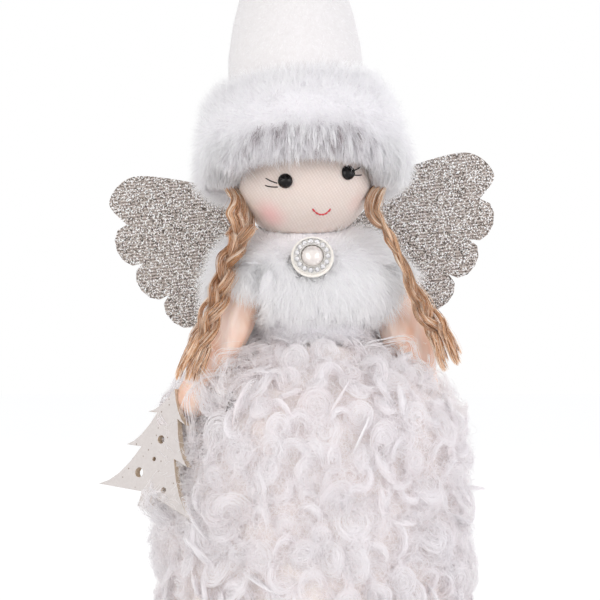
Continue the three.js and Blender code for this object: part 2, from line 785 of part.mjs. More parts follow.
function wingOutline() {
  const half = new THREE.Shape();
  const at = (share) => wingPoint(share, 1);
  const [bridge, saddle] = wing_bridge_shares.map(at);
  const [root, crest, tip] = wing_crest_shares.map(at);
  const notches = wing_notch_shares.map(at);
  const waist = wing_waist_shares.map(at);
  half.moveTo(bridge.x, bridge.y);
  half.quadraticCurveTo(saddle.x, saddle.y, root.x, root.y);
  half.splineThru([crest, tip, notches[0]]);
  notches.slice(1).forEach((notch, i) => addLobe(half, notches[i], notch, 1));
  half.quadraticCurveTo(waist[0].x, waist[0].y, waist[1].x, waist[1].y);
  const right = half.getPoints(6);
  const left = right.map((point) => new THREE.Vector2(-point.x, point.y)).reverse();
  return new THREE.Shape([...right, ...left]);
}

function wingLayer(from, thickness) {
  const layer = new THREE.ExtrudeGeometry(wingOutline(), { depth: thickness, bevelEnabled: false });
  return standing(layer, from + thickness);
}

// Tree: cut in its own XZ plane with the apex at the origin, its back face towards the hand
function treeOutline(offset) {
  const half = new THREE.Path();
  let from = new THREE.Vector2(0, offset);
  half.moveTo(from.x, from.y);
  tree_tier_drops.forEach((drop, i) => {
    const inner = tree_notch_half_widths[i];
    const tip = new THREE.Vector2(tree_tier_half_widths[i] + offset, -drop);
    const swoop_x = THREE.MathUtils.lerp(from.x, tip.x, tree_swoop_share);
    const swoop_y = THREE.MathUtils.lerp(tip.y, from.y, tree_swoop_share / 2);
    half.quadraticCurveTo(swoop_x, swoop_y, tip.x, tip.y);
    from = new THREE.Vector2(inner + offset, tree_notch_rises[i] - drop);
    half.lineTo(from.x, from.y);
  });
  half.lineTo(from.x, -tree_height - offset);
  const right = half.getPoints(tree_swoop_steps);
  const left = right.slice(1).map((point) => new THREE.Vector2(-point.x, point.y)).reverse();
  return new THREE.Shape([...right, ...left]);
}

function treeForm(offset, holes) {
  const outline = treeOutline(offset);
  if (holes) {
    tree_holes.forEach(({ across, down, radius }) => {
      outline.holes.push(new THREE.Path().absarc(across, -down, radius, 0, 2 * Math.PI));
    });
  }
  const depth = tree_thickness + 2 * offset;
  return standing(new THREE.ExtrudeGeometry(outline, {
    depth, bevelEnabled: false, curveSegments: tree_hole_sides / 2,
  }), offset);
}

const tree = new THREE.Group();
tree.rotation.set(-tree_lean, tree_roll, tree_yaw, 'ZXY');
const tree_outward = new THREE.Vector3(0, -1, 0).applyEuler(tree.rotation);
const tree_grip = new THREE.Vector3(tree_grip_across, 0, -tree_grip_down).applyEuler(tree.rotation);
tree.position.copy(right_arm.hand)
  .addScaledVector(tree_outward, hand_radius - tree_dent)
  .sub(tree_grip);
tree.updateMatrixWorld(true);
const tree_seat = inFigure(tree, solidFrom(treeForm(sewn_gap, false)));

// The flat that the tree presses into the skirt's fur, open on the side that the arm swings to
function treeBed() {
  const right = tree_tier_half_widths[tree_tier_half_widths.length - 1] + tree_bed_margin;
  const top = tree_bed_margin;
  const bottom = -tree_height - tree_bed_margin;
  const left = -skirt_radius;
  const back = swing_gap;
  const front = -skirt_radius;
  const bed = new THREE.BoxGeometry(right - left, back - front, top - bottom)
    .translate((left + right) / 2, (front + back) / 2, (top + bottom) / 2);
  return inFigure(tree, solidFrom(bed));
}

// Assembly
const figure = new THREE.Group();
figure.add(
  piece('base_felt', baseFelt(), felt),
  piece('base_board', baseBoard(), fibreboard),
  piece('ballast_bag', ballastForm(0), pellet_bag),
  piece('body_filling', bodyFilling(), wadding),
  piece('body_lining', bodyLining(), cotton),
  piece('curly_skirt', curlySkirt(), curly_fur),
  piece('plush_bodice', plushBodice(), plush),
  piece('fur_collar', furCollar(), long_fur),
);

head.add(
  piece('head_filling', headFilling(), wadding),
  piece('head_cover', headCover(), knit),
  eye('eye_left', 1),
  eye('eye_right', -1),
);

hat.add(
  piece('hat_crown', hatCrown(), fleece),
  piece('hat_filling', hatFilling(), wadding),
  piece('hat_brim', furBrim(), long_fur),
);

brooch.add(
  piece('brooch_back', broochBack(), clear_disc),
  piece('brooch_bezel', broochBezel(), silver),
  broochPearl(),
  ...Array.from({ length: stone_count }, (_, number) => broochStone(number)),
);

wings.add(
  piece('wing_front_cloth', wingLayer(0, wing_cloth_thickness), lame),
  piece('wing_core', wingLayer(wing_cloth_thickness, wing_core_thickness), card),
  piece('wing_back_cloth', wingLayer(wing_cloth_thickness + wing_core_thickness, wing_cloth_thickness), lame),
);

left_arm.group.add(
  piece('arm_left_sleeve', sleeve(left_arm), satin),
  piece('arm_left_filling', sleeveFilling(), wadding),
);
right_arm.group.add(
  piece('arm_right_sleeve', sleeve(right_arm, tree_seat), satin),
  piece('arm_right_filling', sleeveFilling(), wadding),
);
tree.add(piece('tree_panel', treeForm(0, true), plywood));

[['left', left_plait], ['right', right_plait]].forEach(([name, plait]) => {
  for (let number = 0; number < strands_in_plait; number += 1) {
    plait.group.add(piece(`plait_${name}_strand_${number + 1}`, plaitStrand(plait, number), jute));
  }
});

figure.add(
  head, hat, brooch, wings, left_arm.group, right_arm.group, tree, left_plait.group, right_plait.group,
);

export default figure;
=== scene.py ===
import json
import math

import bpy
import numpy as np
from mathutils import Matrix, Vector, kdtree
from mathutils.bvhtree import BVHTree

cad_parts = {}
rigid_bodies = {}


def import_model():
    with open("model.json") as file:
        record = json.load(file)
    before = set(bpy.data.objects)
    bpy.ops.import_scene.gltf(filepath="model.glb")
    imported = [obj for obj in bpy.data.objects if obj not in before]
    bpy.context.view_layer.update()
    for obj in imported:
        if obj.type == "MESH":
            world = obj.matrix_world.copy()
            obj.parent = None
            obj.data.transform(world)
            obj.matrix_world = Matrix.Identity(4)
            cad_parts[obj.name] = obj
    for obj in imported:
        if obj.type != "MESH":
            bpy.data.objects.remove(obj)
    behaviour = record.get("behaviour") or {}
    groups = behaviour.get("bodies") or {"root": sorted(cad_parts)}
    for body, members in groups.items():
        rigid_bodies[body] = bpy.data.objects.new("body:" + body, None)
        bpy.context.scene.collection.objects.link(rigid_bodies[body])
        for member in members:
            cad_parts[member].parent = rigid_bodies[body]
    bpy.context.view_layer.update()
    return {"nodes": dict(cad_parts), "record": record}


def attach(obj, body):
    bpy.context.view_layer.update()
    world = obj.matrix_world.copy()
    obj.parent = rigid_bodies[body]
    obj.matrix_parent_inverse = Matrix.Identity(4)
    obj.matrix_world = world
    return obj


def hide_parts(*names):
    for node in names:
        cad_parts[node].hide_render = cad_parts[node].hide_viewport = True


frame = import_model()

# Camera. A long lens at the height of the collar, level, straight in front of the figure.
# Its picture is 240 mm wide at the figure's middle plane.
MM = 0.001
CAMERA_DISTANCE = 1150 * MM
CAMERA_HEIGHT = 136 * MM
CAMERA_SIDE = -4.8 * MM
PICTURE_WIDTH = 240 * MM
FILM_WIDTH_MM = 36

camera = bpy.data.objects.new("camera", bpy.data.cameras.new("camera"))
camera.data.sensor_width = FILM_WIDTH_MM
camera.data.lens = FILM_WIDTH_MM * CAMERA_DISTANCE / PICTURE_WIDTH
camera.location = (CAMERA_SIDE, -CAMERA_DISTANCE, CAMERA_HEIGHT)
camera.rotation_euler = (math.radians(90), 0, 0)
bpy.context.collection.objects.link(camera)
bpy.context.scene.camera = camera
bpy.context.scene.view_settings.view_transform = "Standard"

# Studio. A white paper floor in a light tent, which is brightest low down and fills the shadows.
# Two large soft lamps stand in front, to the left and the right, and a small one high behind.
TENT_LOW_LEVEL = 1.26
TENT_HIGH_LEVEL = 0.52
TENT_HIGH_FROM = 0.9

# Each lamp's name, place, width, power in watts and colour.
LAMPS = (
    ("left lamp", (-0.95, -1.0, 0.35), 1.1, 7.5, "#fffbf7"),
    ("right lamp", (1.1, -0.9, 0.22), 1.2, 11.0, "#fbf8fa"),
    ("rim lamp", (0.35, 0.9, 0.8), 0.6, 2, "#ffffff"),
)
LAMPS_AIM = Vector((0, 0, 0.14))
FLOOR_REACH = 3
FLOOR_GLOW = 1.25
FLOOR_GLOW_SHARE = 0.6


def linear(hex_colour):
    """A colour written as sRGB hex, as the linear values that a node takes."""
    channels = [int(hex_colour[i:i + 2], 16) / 255 for i in (1, 3, 5)]
    return tuple(c / 12.92 if c <= 0.04045 else ((c + 0.055) / 1.055) ** 2.4 for c in channels) + (1,)


def add_node(tree, kind, inputs=None, **settings):
    """Adds a shader node, sets its settings, and fills its inputs with values or other nodes' outputs."""
    node = tree.nodes.new("ShaderNode" + kind)
    for name, value in settings.items():
        setattr(node, name, value)
    for socket, source in (inputs or {}).items():
        if isinstance(source, bpy.types.NodeSocket):
            tree.links.new(source, node.inputs[socket])
        else:
            node.inputs[socket].default_value = source
    return node


# Light tent: white cloth lit from outside. The camera and clear reflections see plain white paper.
world = bpy.data.worlds.new("white studio")
bpy.context.scene.world = world
world.use_nodes = True
tree = world.node_tree
tree.nodes.clear()
rays = add_node(tree, "LightPath")
seen = add_node(tree, "Math",
                {0: rays.outputs["Is Camera Ray"], 1: rays.outputs["Is Glossy Ray"]}, operation="MAXIMUM")
seen = add_node(tree, "Math",
                {0: seen.outputs[0], 1: rays.outputs["Is Transmission Ray"]}, operation="MAXIMUM")
way = add_node(tree, "TexCoord")
way = add_node(tree, "SeparateXYZ", {0: way.outputs["Generated"]})
level = add_node(tree, "MapRange",
                 {0: way.outputs["Z"], 1: 0, 2: TENT_HIGH_FROM, 3: TENT_LOW_LEVEL, 4: TENT_HIGH_LEVEL})
tent = add_node(tree, "Background", {"Color": linear("#f6f7fa"), "Strength": level.outputs[0]})
paper = add_node(tree, "Background", {"Color": (1, 1, 1, 1), "Strength": 1})
sky = add_node(tree, "MixShader", {0: seen.outputs[0], 1: tent.outputs[0], 2: paper.outputs[0]})
add_node(tree, "OutputWorld", {"Surface": sky.outputs[0]})

for name, place, size, power, colour in LAMPS:
    lamp = bpy.data.objects.new(name, bpy.data.lights.new(name, "AREA"))
    lamp.data.size = size
    lamp.data.energy = power
    lamp.data.color = linear(colour)[:3]
    lamp.location = place
    lamp.rotation_euler = (LAMPS_AIM - Vector(place)).to_track_quat("-Z", "Y").to_euler()
    bpy.context.collection.objects.link(lamp)

floor_mesh = bpy.data.meshes.new("floor")
corners = [(x * FLOOR_REACH, y * FLOOR_REACH, 0) for x, y in ((-1, -1), (1, -1), (1, 1), (-1, 1))]
floor_mesh.from_pydata(corners, [], [(0, 1, 2, 3)])
floor = bpy.data.objects.new("floor", floor_mesh)
bpy.context.collection.objects.link(floor)

# White paper: matt, with a plain white glow that only the camera sees, so that a soft shadow stays.
white_paper = bpy.data.materials.new("white paper")
white_paper.use_nodes = True
tree = white_paper.node_tree
tree.nodes.clear()
rays = add_node(tree, "LightPath")
matt = add_node(tree, "BsdfDiffuse", {"Color": linear("#f4f4f4")})
lit = add_node(tree, "Emission", {"Color": (1, 1, 1, 1), "Strength": FLOOR_GLOW})
share = add_node(tree, "Math",
                 {0: rays.outputs["Is Camera Ray"], 1: FLOOR_GLOW_SHARE}, operation="MULTIPLY")
surface = add_node(tree, "MixShader", {0: share.outputs[0], 1: matt.outputs[0], 2: lit.outputs[0]})
add_node(tree, "OutputMaterial", {"Surface": surface.outputs[0]})
floor_mesh.materials.append(white_paper)

# Base. A stiff fibreboard disc carries a bag of plastic pellets that keeps the figure standing.
# A disc of wool felt is glued under the board, so that it doesn't scratch a shelf.
FELT_FIBRE = 0.35 * MM
BOARD_FIBRE = 0.6 * MM
BAG_THREAD = 0.7 * MM


def new_material(name, colour, roughness, **values):
    """A material with one Principled shader: the material, its node tree and the shader."""
    material = bpy.data.materials.new(name)
    material.use_nodes = True
    tree = material.node_tree
    shader = tree.nodes["Principled BSDF"]
    shader.inputs["Base Color"].default_value = linear(colour)
    shader.inputs["Roughness"].default_value = roughness
    for socket, value in values.items():
        shader.inputs[socket.replace("_", " ").title().replace("Ior", "IOR")].default_value = value
    return material, tree, shader


def mottled(tree, shader, grain, dark, light, height):
    """Two tones and a bump from one noise whose grains have the given size."""
    place = add_node(tree, "TexCoord")
    noise = add_node(tree, "TexNoise",
                     {"Vector": place.outputs["Object"], "Scale": 1 / grain, "Detail": 4, "Roughness": 0.6})
    tone = add_node(tree, "Mix", {0: noise.outputs[0], 6: linear(dark), 7: linear(light)},
                    data_type="RGBA")
    bump = add_node(tree, "Bump", {"Height": noise.outputs[0], "Distance": height, "Strength": 0.8})
    tree.links.new(tone.outputs[2], shader.inputs["Base Color"])
    tree.links.new(bump.outputs[0], shader.inputs["Normal"])


def wave_scale(spacing):
    """The scale at which the bands of Blender's wave texture lie the given length apart."""
    return math.pi / 10 / spacing


def woven(tree, shader, thread, dark, light, height):
    """A plain weave: threads over and under each other, along the piece and round it."""
    place = add_node(tree, "TexCoord")
    waves = [
        add_node(tree, "TexWave",
                 {"Vector": place.outputs["Object"], "Scale": wave_scale(thread), "Distortion": 1.5,
                  "Detail": 1, "Detail Scale": 0.5},
                 wave_type="BANDS", bands_direction=direction)
        for direction in ("X", "Z")
    ]
    crossed = add_node(tree, "Math",
                       {0: waves[0].outputs["Fac"], 1: waves[1].outputs["Fac"]}, operation="MULTIPLY")
    tone = add_node(tree, "Mix", {0: crossed.outputs[0], 6: linear(dark), 7: linear(light)},
                    data_type="RGBA")
    bump = add_node(tree, "Bump", {"Height": crossed.outputs[0], "Distance": height})
    tree.links.new(tone.outputs[2], shader.inputs["Base Color"])
    tree.links.new(bump.outputs[0], shader.inputs["Normal"])


def finish_node(name, material):
    """Gives a rigid piece of the frame its material."""
    for slot in frame["nodes"][name].material_slots:
        slot.material = material


# Wool felt: pressed short fibres, so matt with a soft mottle and no thread lines.
wool_felt, tree, shader = new_material("wool felt", "#e9e4dd", 0.95, sheen_weight=0.3)
mottled(tree, shader, FELT_FIBRE, "#dcd5cb", "#f1ede7", 0.2 * MM)
finish_node("base_felt", wool_felt)

# Fibreboard: pressed brown wood fibres, matt, with darker flecks.
fibreboard, tree, shader = new_material("fibreboard", "#a98662", 0.85)
mottled(tree, shader, BOARD_FIBRE, "#8f6d4b", "#b8956f", 0.1 * MM)
finish_node("base_board", fibreboard)

# Cotton calico: a plain weave of round threads, slack over the pellets.
pellet_bag, tree, shader = new_material("cotton calico", "#d9d2c4", 0.85)
woven(tree, shader, BAG_THREAD, "#c9c0b0", "#e2dccf", 0.2 * MM)
finish_node("ballast_bag", pellet_bag)

# Body. A cone of plain cotton, stuffed with polyester wadding and sewn shut round the board.
# The skirt, the bodice and the collar are sewn to it and cover it all.
LINING_THREAD = 0.5 * MM
WADDING_LOFT = 2.5 * MM

# Polyester wadding: loose crimped fibres that scatter the light, so pure matt white.
wadding, tree, shader = new_material("polyester wadding", "#f4f2ee", 1.0, sheen_weight=0.4)
mottled(tree, shader, WADDING_LOFT, "#e8e5df", "#f8f7f4", 0.8 * MM)
for name in ("body_filling", "head_filling", "hat_filling", "arm_left_filling", "arm_right_filling"):
    finish_node(name, wadding)

# Cotton lining: a fine plain weave.
cotton_lining, tree, shader = new_material("cotton lining", "#f1e9df", 0.9)
woven(tree, shader, LINING_THREAD, "#e5dbcf", "#f6f0e8", 0.1 * MM)
finish_node("body_lining", cotton_lining)

# Curly skirt. A knitted backing, sewn to the body at the waist, with locks of crimped acrylic fibre.
# Each lock is a domed swirl or a crescent, 11 to 18 mm across, over a web of loose curled fibres.
# Here, as in the furs and the jute, fibres are drawn thicker than real, so that fewer fill the pile.
SKIRT_PROFILE = np.array([
    (1, 59.4), (13, 61.6), (42, 62.5), (72, 62.2), (86, 60.9), (95.5, 57.8), (102.5, 52.5), (110, 43.8),
    (115.5, 34.4), (119, 29.1)]) * MM
SKIRT_PILE = 3.2 * MM
SKIRT_POCKET = 4.5 * MM
SKIRT_SPOTS = 34000
LOCK_SPACING = 8.8 * MM
LOCK_OVERLAP = 0.82
LOCK_FIBRES = 60
LOCK_POINTS = 13
LOCK_RADIUS = (5.5 * MM, 9.0 * MM)
LOCK_LIFT = (-2.2 * MM, -0.8 * MM)
PRESSED_DROP = 0.8 * MM
CRESCENT_SHARE = 0.4
CRESCENT_HEIGHT = 2.3 * MM
SWIRL_HEIGHT = 2.6 * MM
ROOT_DEPTH = 2.4 * MM
TIP_DEPTH = 1.1 * MM
CURL_FIBRE = 0.09 * MM
FIBRE_WANDER = 0.3 * MM
FIBRE_SCATTER = 0.35 * MM
HEIGHT_SCATTER = 0.5 * MM
FLOOR_GAP = 0.5 * MM
WEB_FIBRES = 26000
WEB_POINTS = 6
FLYAWAYS = 8000
FLYAWAY_POINTS = 10
HOLLOW_DEPTH = 0.8 * MM
HOLLOW_FROM = 30 * MM
BACKING_SINK = 0.3 * MM
MOST_FACES = 95000


def placed(mesh, material, body):
    """Puts a mesh in the scene as a smooth piece that rides on its body."""
    mesh.polygons.foreach_set("use_smooth", [True] * len(mesh.polygons))
    mesh.materials.append(material)
    made = bpy.data.objects.new(mesh.name, mesh)
    bpy.context.collection.objects.link(made)
    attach(made, body)
    return made


def piece(name, points, faces, material, body, replaced=()):
    """A piece from points and faces, which may stand for nodes of the frame."""
    mesh = bpy.data.meshes.new(name)
    mesh.from_pydata([tuple(p) for p in points], [], [tuple(f) for f in faces])
    made = placed(mesh, material, body)
    if replaced:
        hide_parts(*replaced)
    return made


def unit(vectors):
    """The vectors, each made one long."""
    return vectors / (np.linalg.norm(vectors, axis=-1, keepdims=True) + 1e-12)


def smooth_share(low, high, value):
    """0 below low, 1 above high, and a smooth step between them."""
    share = np.clip((value - low) / (high - low), 0, 1)
    return share * share * (3 - 2 * share)


def strands(name, paths, facing, widths, tones, material, body, rng):
    """Fibres as thin flat ribbons that taper to a point and look outwards.
    paths is (fibres, points, 3); facing, the way outwards, and widths, a half width, are one for each
    fibre. tones runs from 0, dark, to 1, light. A large set is shared out over several pieces."""
    count, steps = paths.shape[:2]
    along = np.gradient(paths, axis=1)
    aside = unit(np.cross(along, (facing + 0.3 * rng.normal(size=(count, 3)))[:, None, :]))
    taper = np.ones(steps)
    taper[-1] = 0.25
    taper[-2] = min(1.0, 0.6 + 0.02 * steps)
    reach = aside * (widths[:, None] * taper)[:, :, None]
    share = max(1, MOST_FACES // (steps - 1))
    for part, start in enumerate(range(0, count, share)):
        rows = slice(start, min(start + share, count))
        points = np.stack([paths[rows] - reach[rows], paths[rows] + reach[rows]], axis=2).reshape(-1, 3)
        first = np.arange(paths[rows].shape[0])[:, None] * steps + np.arange(steps - 1)[None, :]
        corners = np.stack([2 * first, 2 * first + 1, 2 * first + 3, 2 * first + 2], axis=2).reshape(-1)
        mesh = bpy.data.meshes.new(f"{name}_{part + 1}")
        mesh.vertices.add(len(points))
        mesh.vertices.foreach_set("co", points.ravel())
        mesh.loops.add(len(corners))
        mesh.loops.foreach_set("vertex_index", corners.astype(np.int32))
        mesh.polygons.add(len(corners) // 4)
        mesh.polygons.foreach_set("loop_start", np.arange(0, len(corners), 4, dtype=np.int32))
        mesh.update(calc_edges=True)
        shade = mesh.attributes.new("tone", "FLOAT", "POINT")
        shade.data.foreach_set("value", np.repeat(tones[rows].reshape(-1), 2).astype(np.float32))
        placed(mesh, material, body)


def fibre_tones(tree, shader, dark, middle, light, through):
    """Colours a fibre by the tone that its points carry. through is the share of light that passes."""
    tone = add_node(tree, "Attribute", attribute_name="tone")
    low = add_node(tree, "MapRange", {0: tone.outputs["Fac"], 1: 0, 2: 0.5})
    high = add_node(tree, "MapRange", {0: tone.outputs["Fac"], 1: 0.5, 2: 1})
    under = add_node(tree, "Mix", {0: low.outputs[0], 6: linear(dark), 7: linear(middle)},
                     data_type="RGBA")
    mixed = add_node(tree, "Mix", {0: high.outputs[0], 6: under.outputs[2], 7: linear(light)},
                     data_type="RGBA")
    tree.links.new(mixed.outputs[2], shader.inputs["Base Color"])
    glow = add_node(tree, "BsdfTranslucent", {"Color": mixed.outputs[2]})
    both = add_node(tree, "MixShader", {0: through, 1: shader.outputs[0], 2: glow.outputs[0]})
    tree.links.new(both.outputs[0], tree.nodes["Material Output"].inputs["Surface"])


def node_surface(name):
    """A frame node's welded points, its triangles and its smooth normals."""
    mesh = frame["nodes"][name].data
    mesh.calc_loop_triangles()
    points = np.empty(len(mesh.vertices) * 3)
    mesh.vertices.foreach_get("co", points)
    corners = np.empty(len(mesh.loop_triangles) * 3, dtype=np.int32)
    mesh.loop_triangles.foreach_get("vertices", corners)
    keys, back = np.unique(np.round(points.reshape(-1, 3) / 1e-6).astype(np.int64), axis=0,
                           return_inverse=True)
    points = keys * 1e-6
    triangles = back.ravel()[corners].reshape(-1, 3)
    a, b, c = (points[triangles[:, i]] for i in range(3))
    face_normals = np.cross(b - a, c - a)
    normals = np.zeros_like(points)
    for i in range(3):
        np.add.at(normals, triangles[:, i], face_normals)
    return points, triangles, unit(normals)


def backing(name, source, pile, material):
    """The knitted ground of a fur, sunk under the frame node's outside by the depth of the pile."""
    points, triangles, normals = node_surface(source)
    outer = np.sum(normals[:, :2] * points[:, :2], axis=1) / np.linalg.norm(points[:, :2], axis=1)
    depth = pile * smooth_share(-0.1, 0.5, outer) + BACKING_SINK
    return piece(name, points - normals * depth[:, None], triangles, material, "figure", (source,))


def scattered(name, count, rng, keep):
    """Random places all over the part of a node's surface that keep allows, with smooth normals."""
    points, triangles, normals = node_surface(name)
    a, b, c = (points[triangles[:, i]] for i in range(3))
    area = np.linalg.norm(np.cross(b - a, c - a), axis=1)
    picked = rng.choice(len(triangles), size=2 * count, p=area / area.sum())
    shares = rng.dirichlet((1, 1, 1), len(picked))
    places = np.einsum("ij,ijk->ik", shares, points[triangles[picked]])
    facing = unit(np.einsum("ij,ijk->ik", shares, normals[triangles[picked]]))
    allowed = keep(places, facing)
    return places[allowed][:count], facing[allowed][:count]


# Curly acrylic fur: bright crimped fibre. Its darker tones are a warm painted shade, for the hollows
# and the roots of the locks.
curl_fur, tree, shader = new_material("curly acrylic fur", "#f8f1ec", 0.5, sheen_weight=0.15,
                                      specular_ior_level=0.35)
fibre_tones(tree, shader, "#f1e6e2", "#fbf7f8", "#fefdfe", 0.55)

# Knitted backing: matt yarn, a real ground, coloured a little darker and warmer than the fibres as
# painted shade where it shows in the depths.
curl_backing, tree, shader = new_material("knitted fur backing", "#ecdccf", 0.95)
mottled(tree, shader, 1.5 * MM, "#ece3de", "#f6f1ee", 0.5 * MM)

rng = np.random.default_rng(11)
below = np.array([0.0, 0.0, -1.0])


def outer_side(middle, inwards, down):
    """Keeps the places where a surface round the upright line through middle looks outwards and not at
    the floor. inwards and down are how far it may look the other way."""
    return lambda places, facing: (
        (np.sum(facing[:, :2] * (places[:, :2] - middle), axis=1) > -inwards) & (facing[:, 2] > -down))


def sunken(places):
    """How far places lie inside the skirt's full outline, as they do where an arm or the tree rests."""
    return np.interp(places[:, 2], *SKIRT_PROFILE.T) - np.linalg.norm(places[:, :2], axis=1)


# Locks take the places that no earlier lock has taken.
spots, spot_facing = scattered("curly_skirt", SKIRT_SPOTS, rng, outer_side((0, 0), 0.004, 0.6))
chosen = []
taken = kdtree.KDTree(len(spots))
for i, spot in enumerate(spots):
    taken.insert(spot, i)
taken.balance()
free = np.ones(len(spots), dtype=bool)
for i, spot in enumerate(spots):
    if not free[i]:
        continue
    chosen.append(i)
    for _, near, _ in taken.find_range(spot, LOCK_SPACING * LOCK_OVERLAP):
        free[near] = False
root = spots[chosen]
outward = spot_facing[chosen]
number = len(root)
pressed = smooth_share(SKIRT_POCKET, 1.5 * SKIRT_POCKET, sunken(root))

# Each lock lies in its own tilted plane, with its first direction down the skirt.
downward = unit(below - outward * (outward @ below)[:, None] + 0.05 * rng.normal(size=(number, 3)))
axis = unit(outward + 0.42 * (1 - 0.8 * pressed)[:, None] * rng.normal(size=(number, 3)))
first = unit(downward - axis * np.sum(downward * axis, axis=1)[:, None])
second = np.cross(axis, first)
crescent = rng.uniform(0, 1, number) < CRESCENT_SHARE
radius = rng.uniform(*LOCK_RADIUS, number) * (1 - 0.35 * pressed)
inner = np.where(crescent, rng.uniform(0.4, 0.6, number), rng.uniform(0.04, 0.12, number))
arc = np.where(crescent, rng.uniform(2.4, 3.8, number), rng.uniform(4.5, 7.5, number))
arc = arc * rng.choice([-1, 1], number)
start = rng.uniform(0, 2 * math.pi, number)
stretch = rng.uniform(0.95, 1.5, number)
lift = rng.uniform(*LOCK_LIFT, number) - PRESSED_DROP * pressed
swell = np.where(crescent, CRESCENT_HEIGHT, SWIRL_HEIGHT) * (1 - 0.75 * pressed)

# Its fibres lie in layers from the middle outwards and wind once round, domed or as one ridge.
step = np.linspace(0, 1, LOCK_POINTS)
layer = (np.arange(LOCK_FIBRES)[None, :] + rng.uniform(0, 1, (number, LOCK_FIBRES))) / LOCK_FIBRES
shape = (number, LOCK_FIBRES, 1)
spiral = rng.uniform(0.1, 0.4, (number, 1, 1))
turn = (start[:, None, None] + rng.normal(0, 0.4, shape)
        + arc[:, None, None] * rng.normal(1, 0.13, shape) * step)
wander = (FIBRE_WANDER * np.sin(rng.uniform(2, 5, shape) * turn + rng.uniform(0, 6.3, shape))
          + rng.normal(0, FIBRE_SCATTER, shape))
away = radius[:, None, None] * (inner[:, None, None] + (1 - inner[:, None, None]) * layer[..., None])
away = away * (1 - spiral * step) + wander
round_over = np.sqrt(np.clip(1 - (away / radius[:, None, None]) ** 2, 0, 1))
ridge = np.sin(math.pi * layer[..., None]) * np.sin(math.pi * (0.12 + 0.8 * step))
crest = np.where(crescent[:, None, None], ridge, round_over)
bedded = ROOT_DEPTH * (1 - smooth_share(0, 0.2, step)) + TIP_DEPTH * smooth_share(0.8, 1, step)
height = (lift[:, None, None] + swell[:, None, None] * crest - bedded
          + rng.normal(0, HEIGHT_SCATTER, shape) * (0.3 + 0.7 * step))
paths = (root[:, None, None, :] + outward[:, None, None, :] * height[..., None]
         + first[:, None, None, :] * (away * np.cos(turn) * stretch[:, None, None])[..., None]
         + second[:, None, None, :] * (away * np.sin(turn))[..., None])
paths[..., 2] = np.maximum(paths[..., 2], FLOOR_GAP)
# The tone is painted: lighter on the crest of each lock as a painted highlight and darker near its root as
# painted shade, and it differs at random between locks and fibres.
tones = np.clip(rng.uniform(0.6, 0.85, (number, 1, 1)) + rng.normal(0, 0.12, shape) + 0.3 * crest
                - 0.25 * (1 - smooth_share(0, 0.25, step)), 0, 1)
paths = paths.reshape(-1, LOCK_POINTS, 3)
strands("skirt_locks", paths, np.repeat(outward, LOCK_FIBRES, axis=0),
        rng.uniform(0.75, 1.25, len(paths)) * CURL_FIBRE, tones.reshape(-1, LOCK_POINTS), curl_fur,
        "figure", rng)


def loose_curls(name, picked, points, radii, heights, tone, width):
    """Single curled fibres at the picked places of the skirt, with radii and heights in millimetres."""
    count = len(picked)
    root, outward = spots[picked], spot_facing[picked]
    axis = unit(outward + 0.5 * rng.normal(size=(count, 3)))
    first = unit(np.cross(axis, rng.normal(size=(count, 3))))
    second = np.cross(axis, first)
    step = np.linspace(0, 1, points)
    turn = rng.uniform(0, 6.3, (count, 1)) + rng.uniform(1.6, 4.5, (count, 1)) * step
    away = rng.uniform(*radii, (count, 1)) * MM * (1 - 0.3 * step)
    height = rng.uniform(*heights, (count, 1)) * MM
    paths = (root[:, None, :] + outward[:, None, :] * height[..., None]
             + first[:, None, :] * (away * np.cos(turn))[..., None]
             + second[:, None, :] * (away * np.sin(turn))[..., None])
    paths[..., 2] = np.maximum(paths[..., 2], FLOOR_GAP)
    tones = np.repeat(np.clip(rng.normal(tone, 0.15, (count, 1)), 0, 1), points, axis=1)
    strands(name, paths, outward, rng.uniform(0.8, 1.2, count) * width, tones, curl_fur, "figure",
            rng)


# The web between the locks lies close over the backing, with a lower tone as painted shade of the
# depths, and fine fibres stray over all. In the hollows where the arms and the tree lie, fibres fluff
# up again.
everywhere = np.arange(len(spots))
hollow = np.flatnonzero((sunken(spots) > HOLLOW_DEPTH) & (spots[:, 2] > HOLLOW_FROM))
for name, picked, points, radii, heights, tone, width in (
    ("skirt_web", everywhere[-WEB_FIBRES:], WEB_POINTS, (1.5, 4.5), (-2.8, -0.4), 0.5, 1.0),
    ("skirt_flyaways", everywhere[-FLYAWAYS:], FLYAWAY_POINTS, (1.5, 4.5), (-1.5, 1.6), 0.8, 0.45),
    ("skirt_hollows", hollow, WEB_POINTS, (1.5, 4), (0.0, 3.5), 0.85, 0.8),
):
    loose_curls(name, picked, points, radii, heights, tone, width * CURL_FIBRE)
backing("skirt_backing", "curly_skirt", SKIRT_PILE, curl_backing)

# Plush bodice. A band of short white plush round the chest, knitted and sheared.
# It is sewn to the lining between the skirt and the collar.
PLUSH_FIBRES = 14000
PLUSH_PILE = 2.6 * MM
PLUSH_ROOT = 1.2 * MM
PLUSH_SINK = 0.6 * MM
FUR_FIBRE = 0.07 * MM


